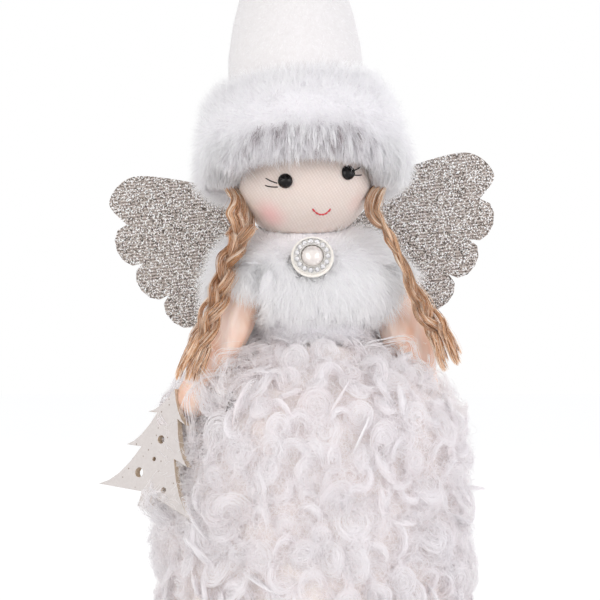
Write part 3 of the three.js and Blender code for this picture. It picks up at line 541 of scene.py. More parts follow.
def fur(name, rng, places, facing, comb, length, depth, *, stand, spread, clump, shade, tip=0.95,
        uneven=0.1, together=24, points=4):
    """Straight white pile: fibres that stand on a surface, lean along the comb and gather in tufts.
    depth sinks the roots, stand is how far fibres stand up and spread how far they stray. clump is how
    strongly the tips of a tuft meet, together the number of fibres in one and uneven how far tufts
    differ in tone. shade is the tone at the root, painted shade deep in the pile, and tip the one at
    the tip. length, spread, clump, shade and tip may be one for each fibre."""
    count = len(places)
    length = length * rng.uniform(0.65, 1.15, count)
    lay = unit(comb - facing * np.sum(comb * facing, axis=1)[:, None])
    stray = np.broadcast_to(np.asarray(spread), (count,))[:, None] * rng.normal(size=(count, 3))
    lead = unit(facing * stand + lay * (1 - stand) + stray)
    step = np.linspace(0, 1, points)
    root = places - facing * depth
    bend = unit(lay + 0.2 * below) * (0.3 * length)[:, None]
    paths = (root[:, None, :] + lead[:, None, :] * (length[:, None] * step)[..., None]
             + bend[:, None, :] * (step ** 2)[None, :, None])
    tufts = max(8, count // together)
    tree = kdtree.KDTree(tufts)
    for i in range(tufts):
        tree.insert(root[i], i)
    tree.balance()
    nearest = np.array([tree.find(p)[1] for p in root])
    pull = (clump * rng.uniform(0.2, 1.0, count))[:, None, None] * (step ** 1.4)[None, :, None]
    paths = paths + (paths[nearest] - paths) * pull
    rise = np.broadcast_to(np.asarray(shade), (count,))[:, None]
    tip = np.broadcast_to(np.asarray(tip), (count,))[:, None]
    tones = np.clip(rise + (tip - rise) * step[None, :] + rng.normal(0, 0.07, (count, 1))
                    + rng.normal(0, uneven, tufts)[nearest][:, None], 0, 1)
    strands(name, paths, facing, rng.uniform(0.7, 1.3, count) * FUR_FIBRE, tones, white_fur, "figure",
            rng)


# White acrylic fur: fine straight pile, which scatters light deep between its fibres. Its dark tone,
# a lilac grey, is painted shade for the roots and the forehead fringe.
white_fur, tree, shader = new_material("white acrylic fur", "#f7f6f9", 0.55, sheen_weight=0.2,
                                       specular_ior_level=0.3)
fibre_tones(tree, shader, "#a4979a", "#f5f4f6", "#fdfdfd", 0.5)

# White fur backing: a matt knitted ground, nearly as light as the pile, so that no seam shows dark.
fur_backing, tree, shader = new_material("white fur backing", "#eeecf0", 0.95)
mottled(tree, shader, 1.2 * MM, "#efecef", "#faf9fb", 0.4 * MM)

rng = np.random.default_rng(12)
places, facing = scattered("plush_bodice", PLUSH_FIBRES, rng, outer_side((0, 0), 0.004, 0.6))
fur("bodice_pile", rng, places, facing, np.broadcast_to(below, places.shape), PLUSH_PILE,
    PLUSH_ROOT, stand=0.7, spread=0.3, clump=0.4, shade=0.5)
backing("bodice_backing", "plush_bodice", PLUSH_SINK, fur_backing)

# Arms. A tube of peach satin, stuffed, drawn in at the wrist by a thread and closed as a round hand.
# Each is sewn to the body at the shoulder, so it can swing outwards.
SHOULDER_RADIUS = 8.5 * MM
ARM_RADIUS = 9.2 * MM
WRIST_RADIUS = 6.6 * MM
HAND_RADIUS = 7.6 * MM
ARM_LENGTH = 47 * MM
ARM_SIDES = 72
ARM_RINGS = 110
ARM_FORWARD = math.radians(3)
GATHER_DEPTH = 0.55 * MM
WRIST_GATHERS = 11
SHOULDER_GATHERS = 8
SLEEVE_FOLD = 0.5 * MM
SLEEVE_CREASE = 0.3 * MM
FOLD_LIMITS = (-0.4 * MM, 0.8 * MM)
SATIN_FOLD = 7 * MM
SATIN_STRETCH = 0.28
SATIN_RELIEF = 1.6 * MM
SATIN_THREAD = 0.3 * MM
WISPS = 40
WISP_FIBRES = 12
WISP_POINTS = 12
WISP_CHOICE = 900
WISP_TOP = 118 * MM
WISP_CURL = 1.8 * MM
WISP_STRAY = 0.25 * MM
WISP_TONE = 0.95


def seam(body):
    """Where a body that swings is sewn to the figure."""
    joints = frame["record"]["behaviour"]["joints"]
    return np.array(next(joint["pos_m"] for joint in joints if joint["child"] == body))


def ring_faces(start, rings, sides):
    """The faces of a wall between rings of points that follow one another from start."""
    return [(low + i, low + (i + 1) % sides, low + sides + (i + 1) % sides, low + sides + i)
            for low in range(start, start + (rings - 1) * sides, sides) for i in range(sides)]


def turned_grid(profile, sides):
    """Points and faces of a turned form, from (radius, height) pairs that start and end on the axis."""
    turn = np.linspace(0, 2 * math.pi, sides, endpoint=False)
    wall = np.array(profile[1:-1])
    rings = np.stack([wall[:, :1] * np.cos(turn), wall[:, :1] * np.sin(turn),
                      np.repeat(wall[:, 1:], sides, axis=1)], axis=2).reshape(-1, 3)
    points = np.vstack([(0, 0, profile[0][1]), rings, (0, 0, profile[-1][1])])
    faces = [(0, 1 + (i + 1) % sides, 1 + i) for i in range(sides)] + ring_faces(1, len(wall), sides)
    last = 1 + (len(wall) - 1) * sides
    faces += [(last + i, last + (i + 1) % sides, len(points) - 1) for i in range(sides)]
    return points, faces


# Peach satin: smooth floating threads, so soft long highlights, and a little light passing through.
# In the hollows of the folds, which the same noise raises as a bump, it is painted a deeper peach
# as painted shade.
peach_satin, tree, shader = new_material(
    "peach satin", "#f1d5c4", 0.4, sheen_weight=0.3, sheen_roughness=0.4, specular_ior_level=0.5,
    subsurface_weight=0.2, subsurface_scale=0.004)
shader.inputs["Subsurface Radius"].default_value = (1.0, 0.5, 0.3)
place = add_node(tree, "TexCoord")
drawn = add_node(tree, "Mapping", {"Vector": place.outputs["Object"], "Scale": (1, 1, SATIN_STRETCH)})
folds = add_node(tree, "TexNoise",
                 {"Vector": drawn.outputs[0], "Scale": 1 / SATIN_FOLD, "Detail": 3, "Distortion": 0.4})
threads = add_node(tree, "TexWave",
                   {"Vector": place.outputs["Object"], "Scale": wave_scale(SATIN_THREAD),
                    "Distortion": 1.0, "Detail": 1},
                   wave_type="BANDS", bands_direction="Z")
fold_shade = add_node(tree, "MapRange", {0: folds.outputs[0], 1: 0.36, 2: 0.6})
tone = add_node(tree, "Mix", {0: fold_shade.outputs[0], 6: linear("#e6bba2"), 7: linear("#f3dccf")},
                data_type="RGBA")
relief = add_node(tree, "Math", {0: threads.outputs["Fac"], 1: 0.02, 2: folds.outputs[0]},
                  operation="MULTIPLY_ADD")
bump = add_node(tree, "Bump", {"Height": relief.outputs[0], "Distance": SATIN_RELIEF, "Strength": 0.7})
tree.links.new(tone.outputs[2], shader.inputs["Base Color"])
tree.links.new(bump.outputs[0], shader.inputs["Normal"])

arm_heights = np.array([-1, -0.86, -0.59, -0.32, 0]) * ARM_LENGTH
arm_reaches = [HAND_RADIUS, WRIST_RADIUS, ARM_RADIUS, ARM_RADIUS, SHOULDER_RADIUS]
arm_profile = []
for height in np.linspace(-ARM_LENGTH - HAND_RADIUS, SHOULDER_RADIUS, ARM_RINGS):
    if height < -ARM_LENGTH:
        reach = math.sqrt(max(0, HAND_RADIUS ** 2 - (height + ARM_LENGTH) ** 2))
    elif height > 0:
        reach = math.sqrt(max(0, SHOULDER_RADIUS ** 2 - height ** 2))
    else:
        between = np.searchsorted(arm_heights, height) - 1
        share = smooth_share(arm_heights[between], arm_heights[between + 1], height)
        reach = arm_reaches[between] * (1 - share) + arm_reaches[between + 1] * share
    arm_profile.append((float(reach), float(height)))


def drawn_locks(name, begin, rise, bow, ends, fibres, wave, width, tone, material, rng):
    """Thin locks of fibres along curves that leave begin towards rise and reach ends from bow.
    wave is how far they curl to the sides."""
    locks = len(begin)
    step = np.linspace(0, 1, WISP_POINTS)[None, :, None]
    lines = (begin[:, None] * (1 - step) ** 3 + 3 * rise[:, None] * step * (1 - step) ** 2
             + 3 * bow[:, None] * step ** 2 * (1 - step) + ends[:, None] * step ** 3)
    curl = rng.uniform(0, 6.3, (locks, 1, 3)) + rng.uniform(5, 9, (locks, 1, 3)) * step
    lines = np.repeat(lines + wave * np.sin(curl) * step, fibres, axis=0)
    count = len(lines)
    fan = rng.normal(0, 1, (count, 1, 3)) * (0.3 + 0.8 * np.sin(math.pi * step)) * MM
    sway = rng.uniform(0, 6.3, (count, 1, 3)) + rng.uniform(5, 12, (count, 1, 3)) * step
    tones = np.repeat(np.clip(rng.normal(tone, 0.1, (count, 1)), 0, 1), WISP_POINTS, axis=1)
    strands(name, lines + fan + WISP_STRAY * np.sin(sway), np.broadcast_to([0.0, -1.0, 0.3], (count, 3)),
            rng.uniform(0.7, 1.2, count) * width, tones, material, "figure", rng)


def wisps(name, over, locks, choice, rng):
    """Curled locks that rise from one of the choice nearest places of the skirt and end close over
    the given points."""
    ends = over[rng.integers(0, len(over), locks)] - rng.uniform(0.6, 3.2, (locks, 1)) * MM * [0, 1, 0]
    near = np.array([[i for _, i, _ in taken.find_n(end, choice)] for end in ends])
    origin = near[np.arange(locks), rng.integers(choice // 4, choice, locks)]
    rise = spots[origin] + spot_facing[origin] * rng.uniform(3, 6, (locks, 1)) * MM
    bow = ends + np.array([0, -1.5, 2.5]) * MM + rng.normal(0, 2.5 * MM, (locks, 3))
    drawn_locks(name, spots[origin], rise, bow, ends, WISP_FIBRES, WISP_CURL, 0.8 * CURL_FIBRE, WISP_TONE,
                curl_fur, rng)


for name, side, spread in (("left", 1, math.radians(16)), ("right", -1, math.radians(25))):
    points, faces = turned_grid(arm_profile, ARM_SIDES)
    turn = np.arctan2(points[:, 1], points[:, 0])
    height = points[:, 2]
    wrist = np.exp(-((height + ARM_LENGTH * 0.84) / (5 * MM)) ** 2)
    sleeve = np.exp(-((height + ARM_LENGTH * 0.45) / (16 * MM)) ** 2)
    shoulder = np.exp(-((height + 4 * MM) / (8 * MM)) ** 2)
    fold = (GATHER_DEPTH * wrist * np.cos(WRIST_GATHERS * turn + 0.7)
            + SLEEVE_FOLD * sleeve * np.sin(4 * turn + 1.2 * np.sin(height / (7 * MM)) + side)
            + SLEEVE_CREASE * sleeve * np.sin(9 * turn + height / (4 * MM))
            + GATHER_DEPTH * shoulder * np.cos(SHOULDER_GATHERS * turn + 60 * height))
    fold = np.clip(fold, *FOLD_LIMITS)
    span = np.hypot(points[:, 0], points[:, 1])
    scale = 1 + np.where(span > MM, fold / np.maximum(span, 3 * MM), 0)
    points[:, 0] *= scale
    points[:, 1] *= scale
    direction = Vector((side * math.sin(spread), -math.sin(ARM_FORWARD), -math.cos(spread)))
    stand = Vector((0, 0, -1)).rotation_difference(direction).to_matrix()
    points = points @ np.array(stand).T + seam(f"{name}_arm")
    arm = piece(f"arm_{name}_satin", points, faces, peach_satin, f"{name}_arm",
                (f"arm_{name}_sleeve",))

    # Long locks of the skirt stray over the arm and the hand, and stay rooted in the skirt.
    faced = np.array([v.normal.y < -0.25 and v.co.z < WISP_TOP for v in arm.data.vertices])
    wisps(f"skirt_wisps_{name}", points[faced], WISPS, WISP_CHOICE, np.random.default_rng(20 + side))

# Fur collar. A cape of long straight faux fur, brushed down from the neck over shoulders and chest.
# It is sewn round the neck seam and lies loose on the bodice and the arms.
COLLAR_FIBRES = 42000
COLLAR_PILE = 8.0 * MM
COLLAR_ROOT = 3.4 * MM
COLLAR_SINK = 2.2 * MM
# The collar's and flaps' root tones are set high, as painted light against the shade of head and hat.
COLLAR_TONE = (0.8, 0.96)
COLLAR_BOTTOM = 128 * MM
CHIN = np.array([-0.0028, -0.022, 0.163])
BROOCH = np.array([-0.0002, -0.03, 0.1522])
COLLAR_CENTRE = np.array([-0.0025, 0.0, 0.0])

rng = np.random.default_rng(13)
places, facing = scattered("fur_collar", COLLAR_FIBRES, rng, outer_side(COLLAR_CENTRE[:2], 0.004, 0.8))
outwards = unit((places - COLLAR_CENTRE) * [1, 1, 0])

# The pile is trimmed shorter under the chin and along the lower edge, where it also gathers in
# locks. Its roots are painted lighter round the brooch, as painted light against the brooch's shadow.
trimmed = 0.6 + 0.4 * smooth_share(COLLAR_BOTTOM, COLLAR_BOTTOM + 8 * MM, places[:, 2])
low_edge = 1 - smooth_share(COLLAR_BOTTOM, COLLAR_BOTTOM + 12 * MM, places[:, 2])
trimmed = trimmed * (0.5 + 0.5 * smooth_share(9 * MM, 17 * MM, np.linalg.norm(places - CHIN, axis=1)))
shade = rng.uniform(*COLLAR_TONE, len(places)) + 0.1 * (1 - smooth_share(
    7 * MM, 12 * MM, np.linalg.norm((places - BROOCH) * [1, 0, 1], axis=1)))
fur("collar_fur", rng, places, facing,
    below + 0.4 * outwards + 0.25 * rng.normal(size=places.shape),
    COLLAR_PILE * trimmed * (1 + 0.35 * low_edge), COLLAR_ROOT, stand=0.5, spread=0.25,
    clump=0.4 + 0.45 * low_edge, shade=shade, tip=1.0)
backing("collar_backing", "fur_collar", COLLAR_SINK, fur_backing)

# A rounded flap of the same fur falls over each shoulder, and the arm turns under it.
FLAP_RADIUS = SHOULDER_RADIUS + 1.2 * MM
FLAP_CLOTH = 0.5 * MM
FLAP_ANGLE = math.radians(66)
FLAP_PILE = 0.9 * COLLAR_PILE
FLAP_ROOT = 0.3 * MM
FLAP_FIBRES = 4200
for name, side in (("left", 1), ("right", -1)):
    shoulder = seam(f"{name}_arm")
    falls = [(FLAP_RADIUS * math.sin(a), FLAP_RADIUS * math.cos(a)) for a in np.linspace(0, FLAP_ANGLE, 12)]
    outer = [(r * (1 + FLAP_CLOTH / FLAP_RADIUS), z * (1 + FLAP_CLOTH / FLAP_RADIUS)) for r, z in falls]
    points, faces = turned_grid(falls + outer[::-1], 40)
    axis = Vector((-side * 0.25, -0.45, 0.9)).normalized()
    points = points @ np.array(Vector((0, 0, 1)).rotation_difference(axis).to_matrix()).T + shoulder
    piece(f"collar_flap_{name}", points, faces, fur_backing, "figure")
    rng = np.random.default_rng(30 + side)
    facing = unit(rng.normal(size=(6 * FLAP_FIBRES, 3)))
    facing = facing[facing @ np.array(axis) > math.cos(FLAP_ANGLE)][:FLAP_FIBRES]
    fur(f"collar_flap_fur_{name}", rng, shoulder + facing * (FLAP_RADIUS + FLAP_CLOTH),
        facing, below + 0.3 * facing + 0.25 * rng.normal(size=facing.shape), FLAP_PILE, FLAP_ROOT,
        stand=0.35, spread=0.25, clump=0.6, shade=rng.uniform(*COLLAR_TONE, len(facing)), tip=1.0)

# Brooch. A cream plastic disc, a silvered ring with fifteen foil-backed rhinestones, and half a pearl.
# It is glued to the collar's front under the chin.

# Cream plastic: moulded smooth, so half matt with a soft highlight and hardly any mottle.
cream_plastic, tree, shader = new_material("cream moulded plastic", "#f6f0e6", 0.4)
mottled(tree, shader, 1.0 * MM, "#f5eee4", "#fdfaf4", 0.02 * MM)
finish_node("brooch_back", cream_plastic)

# Silvered brass: cast cups round the stones, bright on their rims.
silvered, tree, shader = new_material("silvered brass", "#e9e7e3", 0.3, metallic=0.7)
mottled(tree, shader, 0.8 * MM, "#cfcac4", "#f6f4f1", 0.05 * MM)
finish_node("brooch_bezel", silvered)

# Rhinestone: cut glass with a foil back, so each facet throws back the studio brightly.
rhinestone, tree, shader = new_material("foil-backed rhinestone", "#f8f7f8", 0.06, metallic=0.6,
                                        coat_weight=1.0, coat_roughness=0.02)
mottled(tree, shader, 1.0 * MM, "#c9c8cc", "#ffffff", 0.06 * MM)
for number in range(15):
    finish_node(f"brooch_stone_{number + 1:02d}", rhinestone)

# Pearl lacquer: many thin clear coats over a bead, so a sharp highlight over a soft satin one.
pearl, tree, shader = new_material("pearl lacquer", "#e9dfd6", 0.22, coat_weight=1.0, coat_roughness=0.03,
                                   sheen_weight=0.2, metallic=0.25)
mottled(tree, shader, 3.0 * MM, "#d8cdc6", "#f1ece8", 0.01 * MM)
finish_node("brooch_pearl", pearl)

# Wings. Glitter lame glued to both sides of a stiff card, cut as one butterfly.
# The cloth is knitted with flat metallic yarn, and the wings are sewn on behind the collar.
LAME_ROW = 1.3 * MM
LAME_LEAN = math.radians(6)
GLITTER_GRAIN = 0.42 * MM
DARK_REFLECTION_SHARE = 0.24
GLINT_SHARE = 0.2

# Glitter lame: beige ground with grains of foil, some painted dark and some painted white, as
# painted reflections and glints of the foil. The grains are drawn at twice their real size, so
# that single ones show.
glitter_lame, tree, shader = new_material("silver glitter lame", "#cfc6c2", 0.42, metallic=0.3,
                                          specular_ior_level=0.6)
place = add_node(tree, "TexCoord")
cloth = add_node(tree, "Mapping", {"Vector": place.outputs["Object"], "Rotation": (0, LAME_LEAN, 0)})
rows = add_node(tree, "TexWave",
                {"Vector": cloth.outputs[0], "Scale": wave_scale(LAME_ROW), "Distortion": 0.8,
                 "Detail": 1, "Detail Scale": 300},
                wave_type="BANDS", bands_direction="Z")
grains = add_node(tree, "TexVoronoi",
                  {"Vector": cloth.outputs[0], "Scale": 1 / GLITTER_GRAIN, "Randomness": 0.85})
pick = add_node(tree, "SeparateColor", {0: grains.outputs["Color"]})
dark_reflection_grain = add_node(tree, "Math", {0: pick.outputs[0], 1: DARK_REFLECTION_SHARE}, operation="LESS_THAN")
glint_grain = add_node(tree, "Math", {0: pick.outputs[1], 1: 1 - GLINT_SHARE},
                        operation="GREATER_THAN")
yarn = add_node(tree, "MapRange", {0: rows.outputs["Fac"], 1: 0.75, 2: 0.1})
ground = add_node(tree, "Mix",
                  {0: yarn.outputs[0], 6: linear("#cbc0b8"), 7: linear("#968a82")}, data_type="RGBA")
specks = add_node(tree, "Mix",
                  {0: dark_reflection_grain.outputs[0], 6: ground.outputs[2], 7: linear("#493e36")}, data_type="RGBA")
lights = add_node(tree, "Mix", {0: glint_grain.outputs[0], 6: specks.outputs[2], 7: linear("#ffffff")},
                  data_type="RGBA")
bump = add_node(tree, "Bump", {"Height": pick.outputs[2], "Distance": 0.22 * MM})
tree.links.new(lights.outputs[2], shader.inputs["Base Color"])
tree.links.new(bump.outputs[0], shader.inputs["Normal"])
finish_node("wing_front_cloth", glitter_lame)
finish_node("wing_back_cloth", glitter_lame)

# Wing card: pressed pulp board, matt, which shows only at the cut edge.
wing_card, tree, shader = new_material("wing card", "#cfc6ba", 0.85)
mottled(tree, shader, 0.8 * MM, "#c2b8ab", "#d8d0c5", 0.05 * MM)
finish_node("wing_core", wing_card)

# Head. A ball of wadding under fine flesh-coloured knit, gathered at the neck.
# The knit's ribs run down the face, and the cheeks are dabbed with pink powder.
HEAD_CENTRE = Vector((-2.8, -2, 184.4)) * MM
HEAD_RADIUS = 27.2 * MM
HEAD_DEPTH = 26 * MM
HEAD_HALF_HEIGHT = 25 * MM
HEAD_ROLL = math.radians(-8)
HEAD_YAW = math.radians(11)
NECK_RADIUS = 7.6 * MM
NECK_DROP = 28.2 * MM
NECK_GATHERS = 17
KNIT_RIB = 1.15 * MM
KNIT_STITCH = 0.9 * MM
KNIT_LEAN = math.radians(24)
STITCH_BOW = 1.2
STITCH_SHARE = 0.28
CHEEKS = (
    ((-16.8, 170.0), 9.5 * MM, 0.38, "#f49aa2"),
    ((17.6, 174.8), 6.5 * MM, 0.2, "#e8a8a8"),
)

head_turn = Matrix.Rotation(HEAD_ROLL, 3, "Y") @ Matrix.Rotation(HEAD_YAW, 3, "Z")
head_start = math.asin(NECK_RADIUS / HEAD_RADIUS)
head_profile = [(0, -NECK_DROP), (NECK_RADIUS * 0.98, -NECK_DROP)]
for turn in np.linspace(head_start, math.pi, 61):
    head_profile.append((HEAD_RADIUS * math.sin(turn), -HEAD_HALF_HEIGHT * math.cos(turn)))
points, faces = turned_grid(head_profile, 96)
turn = np.arctan2(points[:, 1], points[:, 0])
gathered = np.exp(-((points[:, 2] + 24 * MM) / (5 * MM)) ** 2)
points[:, :2] *= (1 + 0.035 * gathered * np.cos(NECK_GATHERS * turn + 0.5 * np.sin(3 * turn)))[:, None]
points[:, 1] *= HEAD_DEPTH / HEAD_RADIUS
points = points @ np.array(head_turn).T + np.array(HEAD_CENTRE)
head_tree = BVHTree.FromPolygons(points.tolist(), faces)


def on_head(across, up, lift=0.0):
    """The place on the head that the camera sees behind a point of the figure's middle plane, which is
    given in millimetres."""
    sight = (Vector((across * MM, 0, up * MM)) - camera.location).normalized()
    hit, normal, _, _ = head_tree.ray_cast(camera.location, sight)
    if normal.dot(sight) > 0:
        normal = -normal
    return hit + normal * lift


# Fine knit over wadding: matt, with rows of small stitches, and a little light passing through.
flesh_knit, tree, shader = new_material("fine flesh knit", "#f0ddd1", 0.8, sheen_weight=0.25,
                                        subsurface_weight=0.15, subsurface_scale=0.003,
                                        specular_ior_level=0.25)
shader.inputs["Subsurface Radius"].default_value = (1.0, 0.5, 0.35)
place = add_node(tree, "TexCoord")
upright = add_node(tree, "Mapping",
                   {"Vector": place.outputs["Object"], "Rotation": (0, -HEAD_ROLL + KNIT_LEAN, 0)})
axes = add_node(tree, "SeparateXYZ", {0: upright.outputs[0]})
rib = add_node(tree, "Math", {0: axes.outputs[0], 1: math.pi / KNIT_RIB}, operation="MULTIPLY")
rib = add_node(tree, "Math", {0: rib.outputs[0]}, operation="SINE")
rib = add_node(tree, "Math", {0: rib.outputs[0]}, operation="ABSOLUTE")
course = add_node(tree, "Math", {0: axes.outputs[2], 1: 2 * math.pi / KNIT_STITCH}, operation="MULTIPLY")
course = add_node(tree, "Math", {0: rib.outputs[0], 1: STITCH_BOW, 2: course.outputs[0]},
                  operation="MULTIPLY_ADD")
course = add_node(tree, "Math", {0: course.outputs[0]}, operation="SINE")
loops = add_node(tree, "Math", {0: course.outputs[0], 1: STITCH_SHARE, 2: rib.outputs[0]},
                 operation="MULTIPLY_ADD")
uneven = add_node(tree, "TexNoise",
                  {"Vector": place.outputs["Object"], "Scale": 1 / (2.5 * MM), "Detail": 3})
loops = add_node(tree, "Math", {0: loops.outputs[0], 1: uneven.outputs[0]}, operation="MULTIPLY")
knit = add_node(tree, "Mix",
                {0: loops.outputs[0], 6: linear("#d7c8bf"), 7: linear("#e6dad3")}, data_type="RGBA")
tint = knit.outputs[2]
for (across, up), reach, strength, powder in CHEEKS:
    away = add_node(tree, "VectorMath",
                    {0: place.outputs["Object"], 1: tuple(on_head(across, up))}, operation="DISTANCE")
    dab = add_node(tree, "MapRange", {0: away.outputs["Value"], 1: 0.0, 2: reach, 3: strength, 4: 0.0},
                   interpolation_type="SMOOTHSTEP")
    blush = add_node(tree, "Mix", {0: dab.outputs[0], 6: tint, 7: linear(powder)}, data_type="RGBA")
    tint = blush.outputs[2]
bump = add_node(tree, "Bump", {"Height": loops.outputs[0], "Distance": 0.12 * MM})
tree.links.new(tint, shader.inputs["Base Color"])
tree.links.new(bump.outputs[0], shader.inputs["Normal"])
head = piece("head_knit", points, faces, flesh_knit, "figure", ("head_cover",))

# Face. Half beads of black glass on shanks are the eyes, with two lashes of black thread each.
# The mouth is one curved row of backstitch in red thread.
LASH_THREAD = 0.24 * MM
MOUTH_THREAD = 0.38 * MM
THREAD_SIDES = 8
MOUTH_STITCHES = 6
MOUTH_START, MOUTH_WIDTH, MOUTH_TOP, MOUTH_DROP = 0.16, 7.3, 172.6, 2.4
LASHES = (
    ((-13.9, 182.7), (-16.2, 183.3), (-18.5, 184.7)),
    ((-13.7, 181.2), (-16.2, 181.0), (-18.7, 181.8)),
    ((16.0, 187.6), (17.8, 188.0), (19.3, 189.2)),
    ((16.2, 186.1), (18.0, 185.7), (19.8, 186.0)),
)

# Black glass: pressed and fire-polished, so nearly black with one sharp highlight of each lamp.
black_glass, tree, shader = new_material("black glass", "#0b0a0b", 0.04, specular_ior_level=0.3)
mottled(tree, shader, 2.0 * MM, "#080708", "#0d0c0d", 0.002 * MM)
for name in ("eye_left", "eye_right"):
    finish_node(name, black_glass)


def thread(name, path, radius, material):
    """A thread as a thin round tube that comes out of the knit and goes back in at its ends."""
    path = np.array([tuple(p) for p in path])
    along = unit(np.gradient(path, axis=0))
    aside = unit(np.cross(along, [0.13, 1.0, 0.31]))
    third = np.cross(along, aside)
    turn = np.linspace(0, 2 * math.pi, THREAD_SIDES, endpoint=False)
    points = (path[:, None, :] + radius * (aside[:, None, :] * np.cos(turn)[None, :, None]
                                           + third[:, None, :] * np.sin(turn)[None, :, None]))
    points = points.reshape(-1, 3)
    faces = [tuple(range(THREAD_SIDES))[::-1], tuple(range(len(points) - THREAD_SIDES, len(points)))]
    faces += ring_faces(0, len(path), THREAD_SIDES)
    return piece(name, points, faces, material, "figure")


# Black sewing thread: spun polyester, matt, with the twist just lighter on top.
black_thread, tree, shader = new_material("black sewing thread", "#1a1413", 0.7)
mottled(tree, shader, 0.3 * MM, "#0f0b0a", "#2c2320", 0.03 * MM)

# Red embroidery thread: loosely twisted cotton with a slight gloss, lighter where strands lie on top.
red_thread, tree, shader = new_material("red embroidery thread", "#cc2f38", 0.55, sheen_weight=0.3)
mottled(tree, shader, 0.4 * MM, "#a81f2a", "#dd4a52", 0.05 * MM)

for number, (begin, middle, end) in enumerate(LASHES):
    path = []
    for share in np.linspace(0, 1, 9):
        across, up = (np.array(begin) * (1 - share) ** 2 + 2 * share * (1 - share) * np.array(middle)
                      + share ** 2 * np.array(end))
        path.append(on_head(across, up, (0.9 * math.sin(math.pi * share) - 0.25) * LASH_THREAD))
    thread(f"lash_{number + 1}", path, LASH_THREAD, black_thread)

for number in range(MOUTH_STITCHES):
    path = []
    for share in np.linspace(0, 1, 7):
        along = (number + 0.12 + 0.76 * share) / MOUTH_STITCHES
        across = MOUTH_START + MOUTH_WIDTH * along
        up = MOUTH_TOP - MOUTH_DROP * (1 - abs(2 * along - 1) ** 2.3)
        path.append(on_head(across, up, (1.2 * math.sin(math.pi * share) - 0.7) * MOUTH_THREAD))
    thread(f"mouth_stitch_{number + 1}", path, MOUTH_THREAD, red_thread)

# Plaits. Hair of natural jute: bundles of coarse fibre sewn in under the hat brim, three to a plait.
# They hang straight at first, are plaited beside the collar, and end loose where they were cut.
PLAIT_DROP = 80 * MM
STRAND_WIDTH = 4.3 * MM
STRAND_THICKNESS = 3.0 * MM
STRAND_SPREAD = 2.9 * MM
STRAND_LIFT = 2.62 * MM
PLAIT_PITCH = 34 * MM
BRAID_START, BRAID_END = 0.24, 0.84
TWIST_END, LOOSE_FROM = 0.6, 0.78
TAIL_SPREAD = 0.9 * MM
JUTE_FIBRE = 0.1 * MM
STRAND_FIBRES = 130
STRAY_FIBRES = 18
TWINES = 2
TWINE_SPREAD = 1.9 * MM
JUTE_WOBBLE = 0.14 * MM
STRAND_POINTS = 72

# For each plait: its side, the twist of its flat side at the root, its girth along its length, and its
# route outwards, ahead and down in shares of the drop.
PLAITS = {
    "left": (
        1, math.radians(80),
        ((0, 0.5), (0.13, 0.7), (0.25, 0.5), (0.5, 0.36), (0.62, 0.6), (0.75, 1), (1, 1)),
        ((0, 0, 0), (-0.05, 0.1, 0.08), (-0.06, 0.15, 0.16), (0.005, 0.19, 0.25), (0.045, 0.235, 0.338),
         (0.09, 0.255, 0.426), (0.122, 0.255, 0.514), (0.167, 0.24, 0.603), (0.221, 0.225, 0.69),
         (0.282, 0.215, 0.779), (0.322, 0.21, 0.868), (0.352, 0.21, 0.918))),
    "right": (
        -1, math.radians(15),
        ((0, 0.5), (0.12, 0.8), (0.22, 1.35), (0.3, 1.2), (0.4, 0.85), (0.6, 0.95), (1, 1)),
        ((0, 0, 0), (-0.075, 0.085, 0.1), (-0.078, 0.145, 0.2), (-0.072, 0.23, 0.29), (-0.01, 0.305, 0.418),
         (0.015, 0.345, 0.53), (0.044, 0.367, 0.617), (0.079, 0.392, 0.705), (0.105, 0.405, 0.79),
         (0.158, 0.405, 0.94), (0.168, 0.4, 0.99))),
}


def smooth_route(knots, steps):
    """A centripetal Catmull-Rom curve through the knots: even points along it, and its length."""
    knots = np.vstack([2 * knots[0] - knots[1], knots, 2 * knots[-1] - knots[-2]])
    fine = []
    for i in range(1, len(knots) - 2):
        p0, p1, p2, p3 = knots[i - 1:i + 3]
        t1 = np.linalg.norm(p1 - p0) ** 0.5
        t2 = t1 + np.linalg.norm(p2 - p1) ** 0.5
        t3 = t2 + np.linalg.norm(p3 - p2) ** 0.5
        for t in np.linspace(t1, t2, 24, endpoint=i == len(knots) - 3):
            a1 = p0 * (t1 - t) / t1 + p1 * t / t1
            a2 = p1 * (t2 - t) / (t2 - t1) + p2 * (t - t1) / (t2 - t1)
            a3 = p2 * (t3 - t) / (t3 - t2) + p3 * (t - t2) / (t3 - t2)
            b1 = a1 * (t2 - t) / t2 + a2 * t / t2
            b2 = a2 * (t3 - t) / (t3 - t1) + a3 * (t - t1) / (t3 - t1)
            fine.append(b1 * (t2 - t) / (t2 - t1) + b2 * (t - t1) / (t2 - t1))
    fine = np.array(fine)
    runs = np.concatenate([[0], np.cumsum(np.linalg.norm(np.diff(fine, axis=0), axis=1))])
    even = np.linspace(0, runs[-1], steps)
    return np.stack([np.interp(even, runs, fine[:, i]) for i in range(3)], axis=1), runs[-1]


# Jute: coarse golden bast fibre, dull, each fibre darker or lighter than the next.
jute, tree, shader = new_material("natural jute", "#c4946e", 0.65, sheen_weight=0.1,
                                  specular_ior_level=0.35)
fibre_tones(tree, shader, "#7a4826", "#e9b88a", "#fff5e6", 0.2)

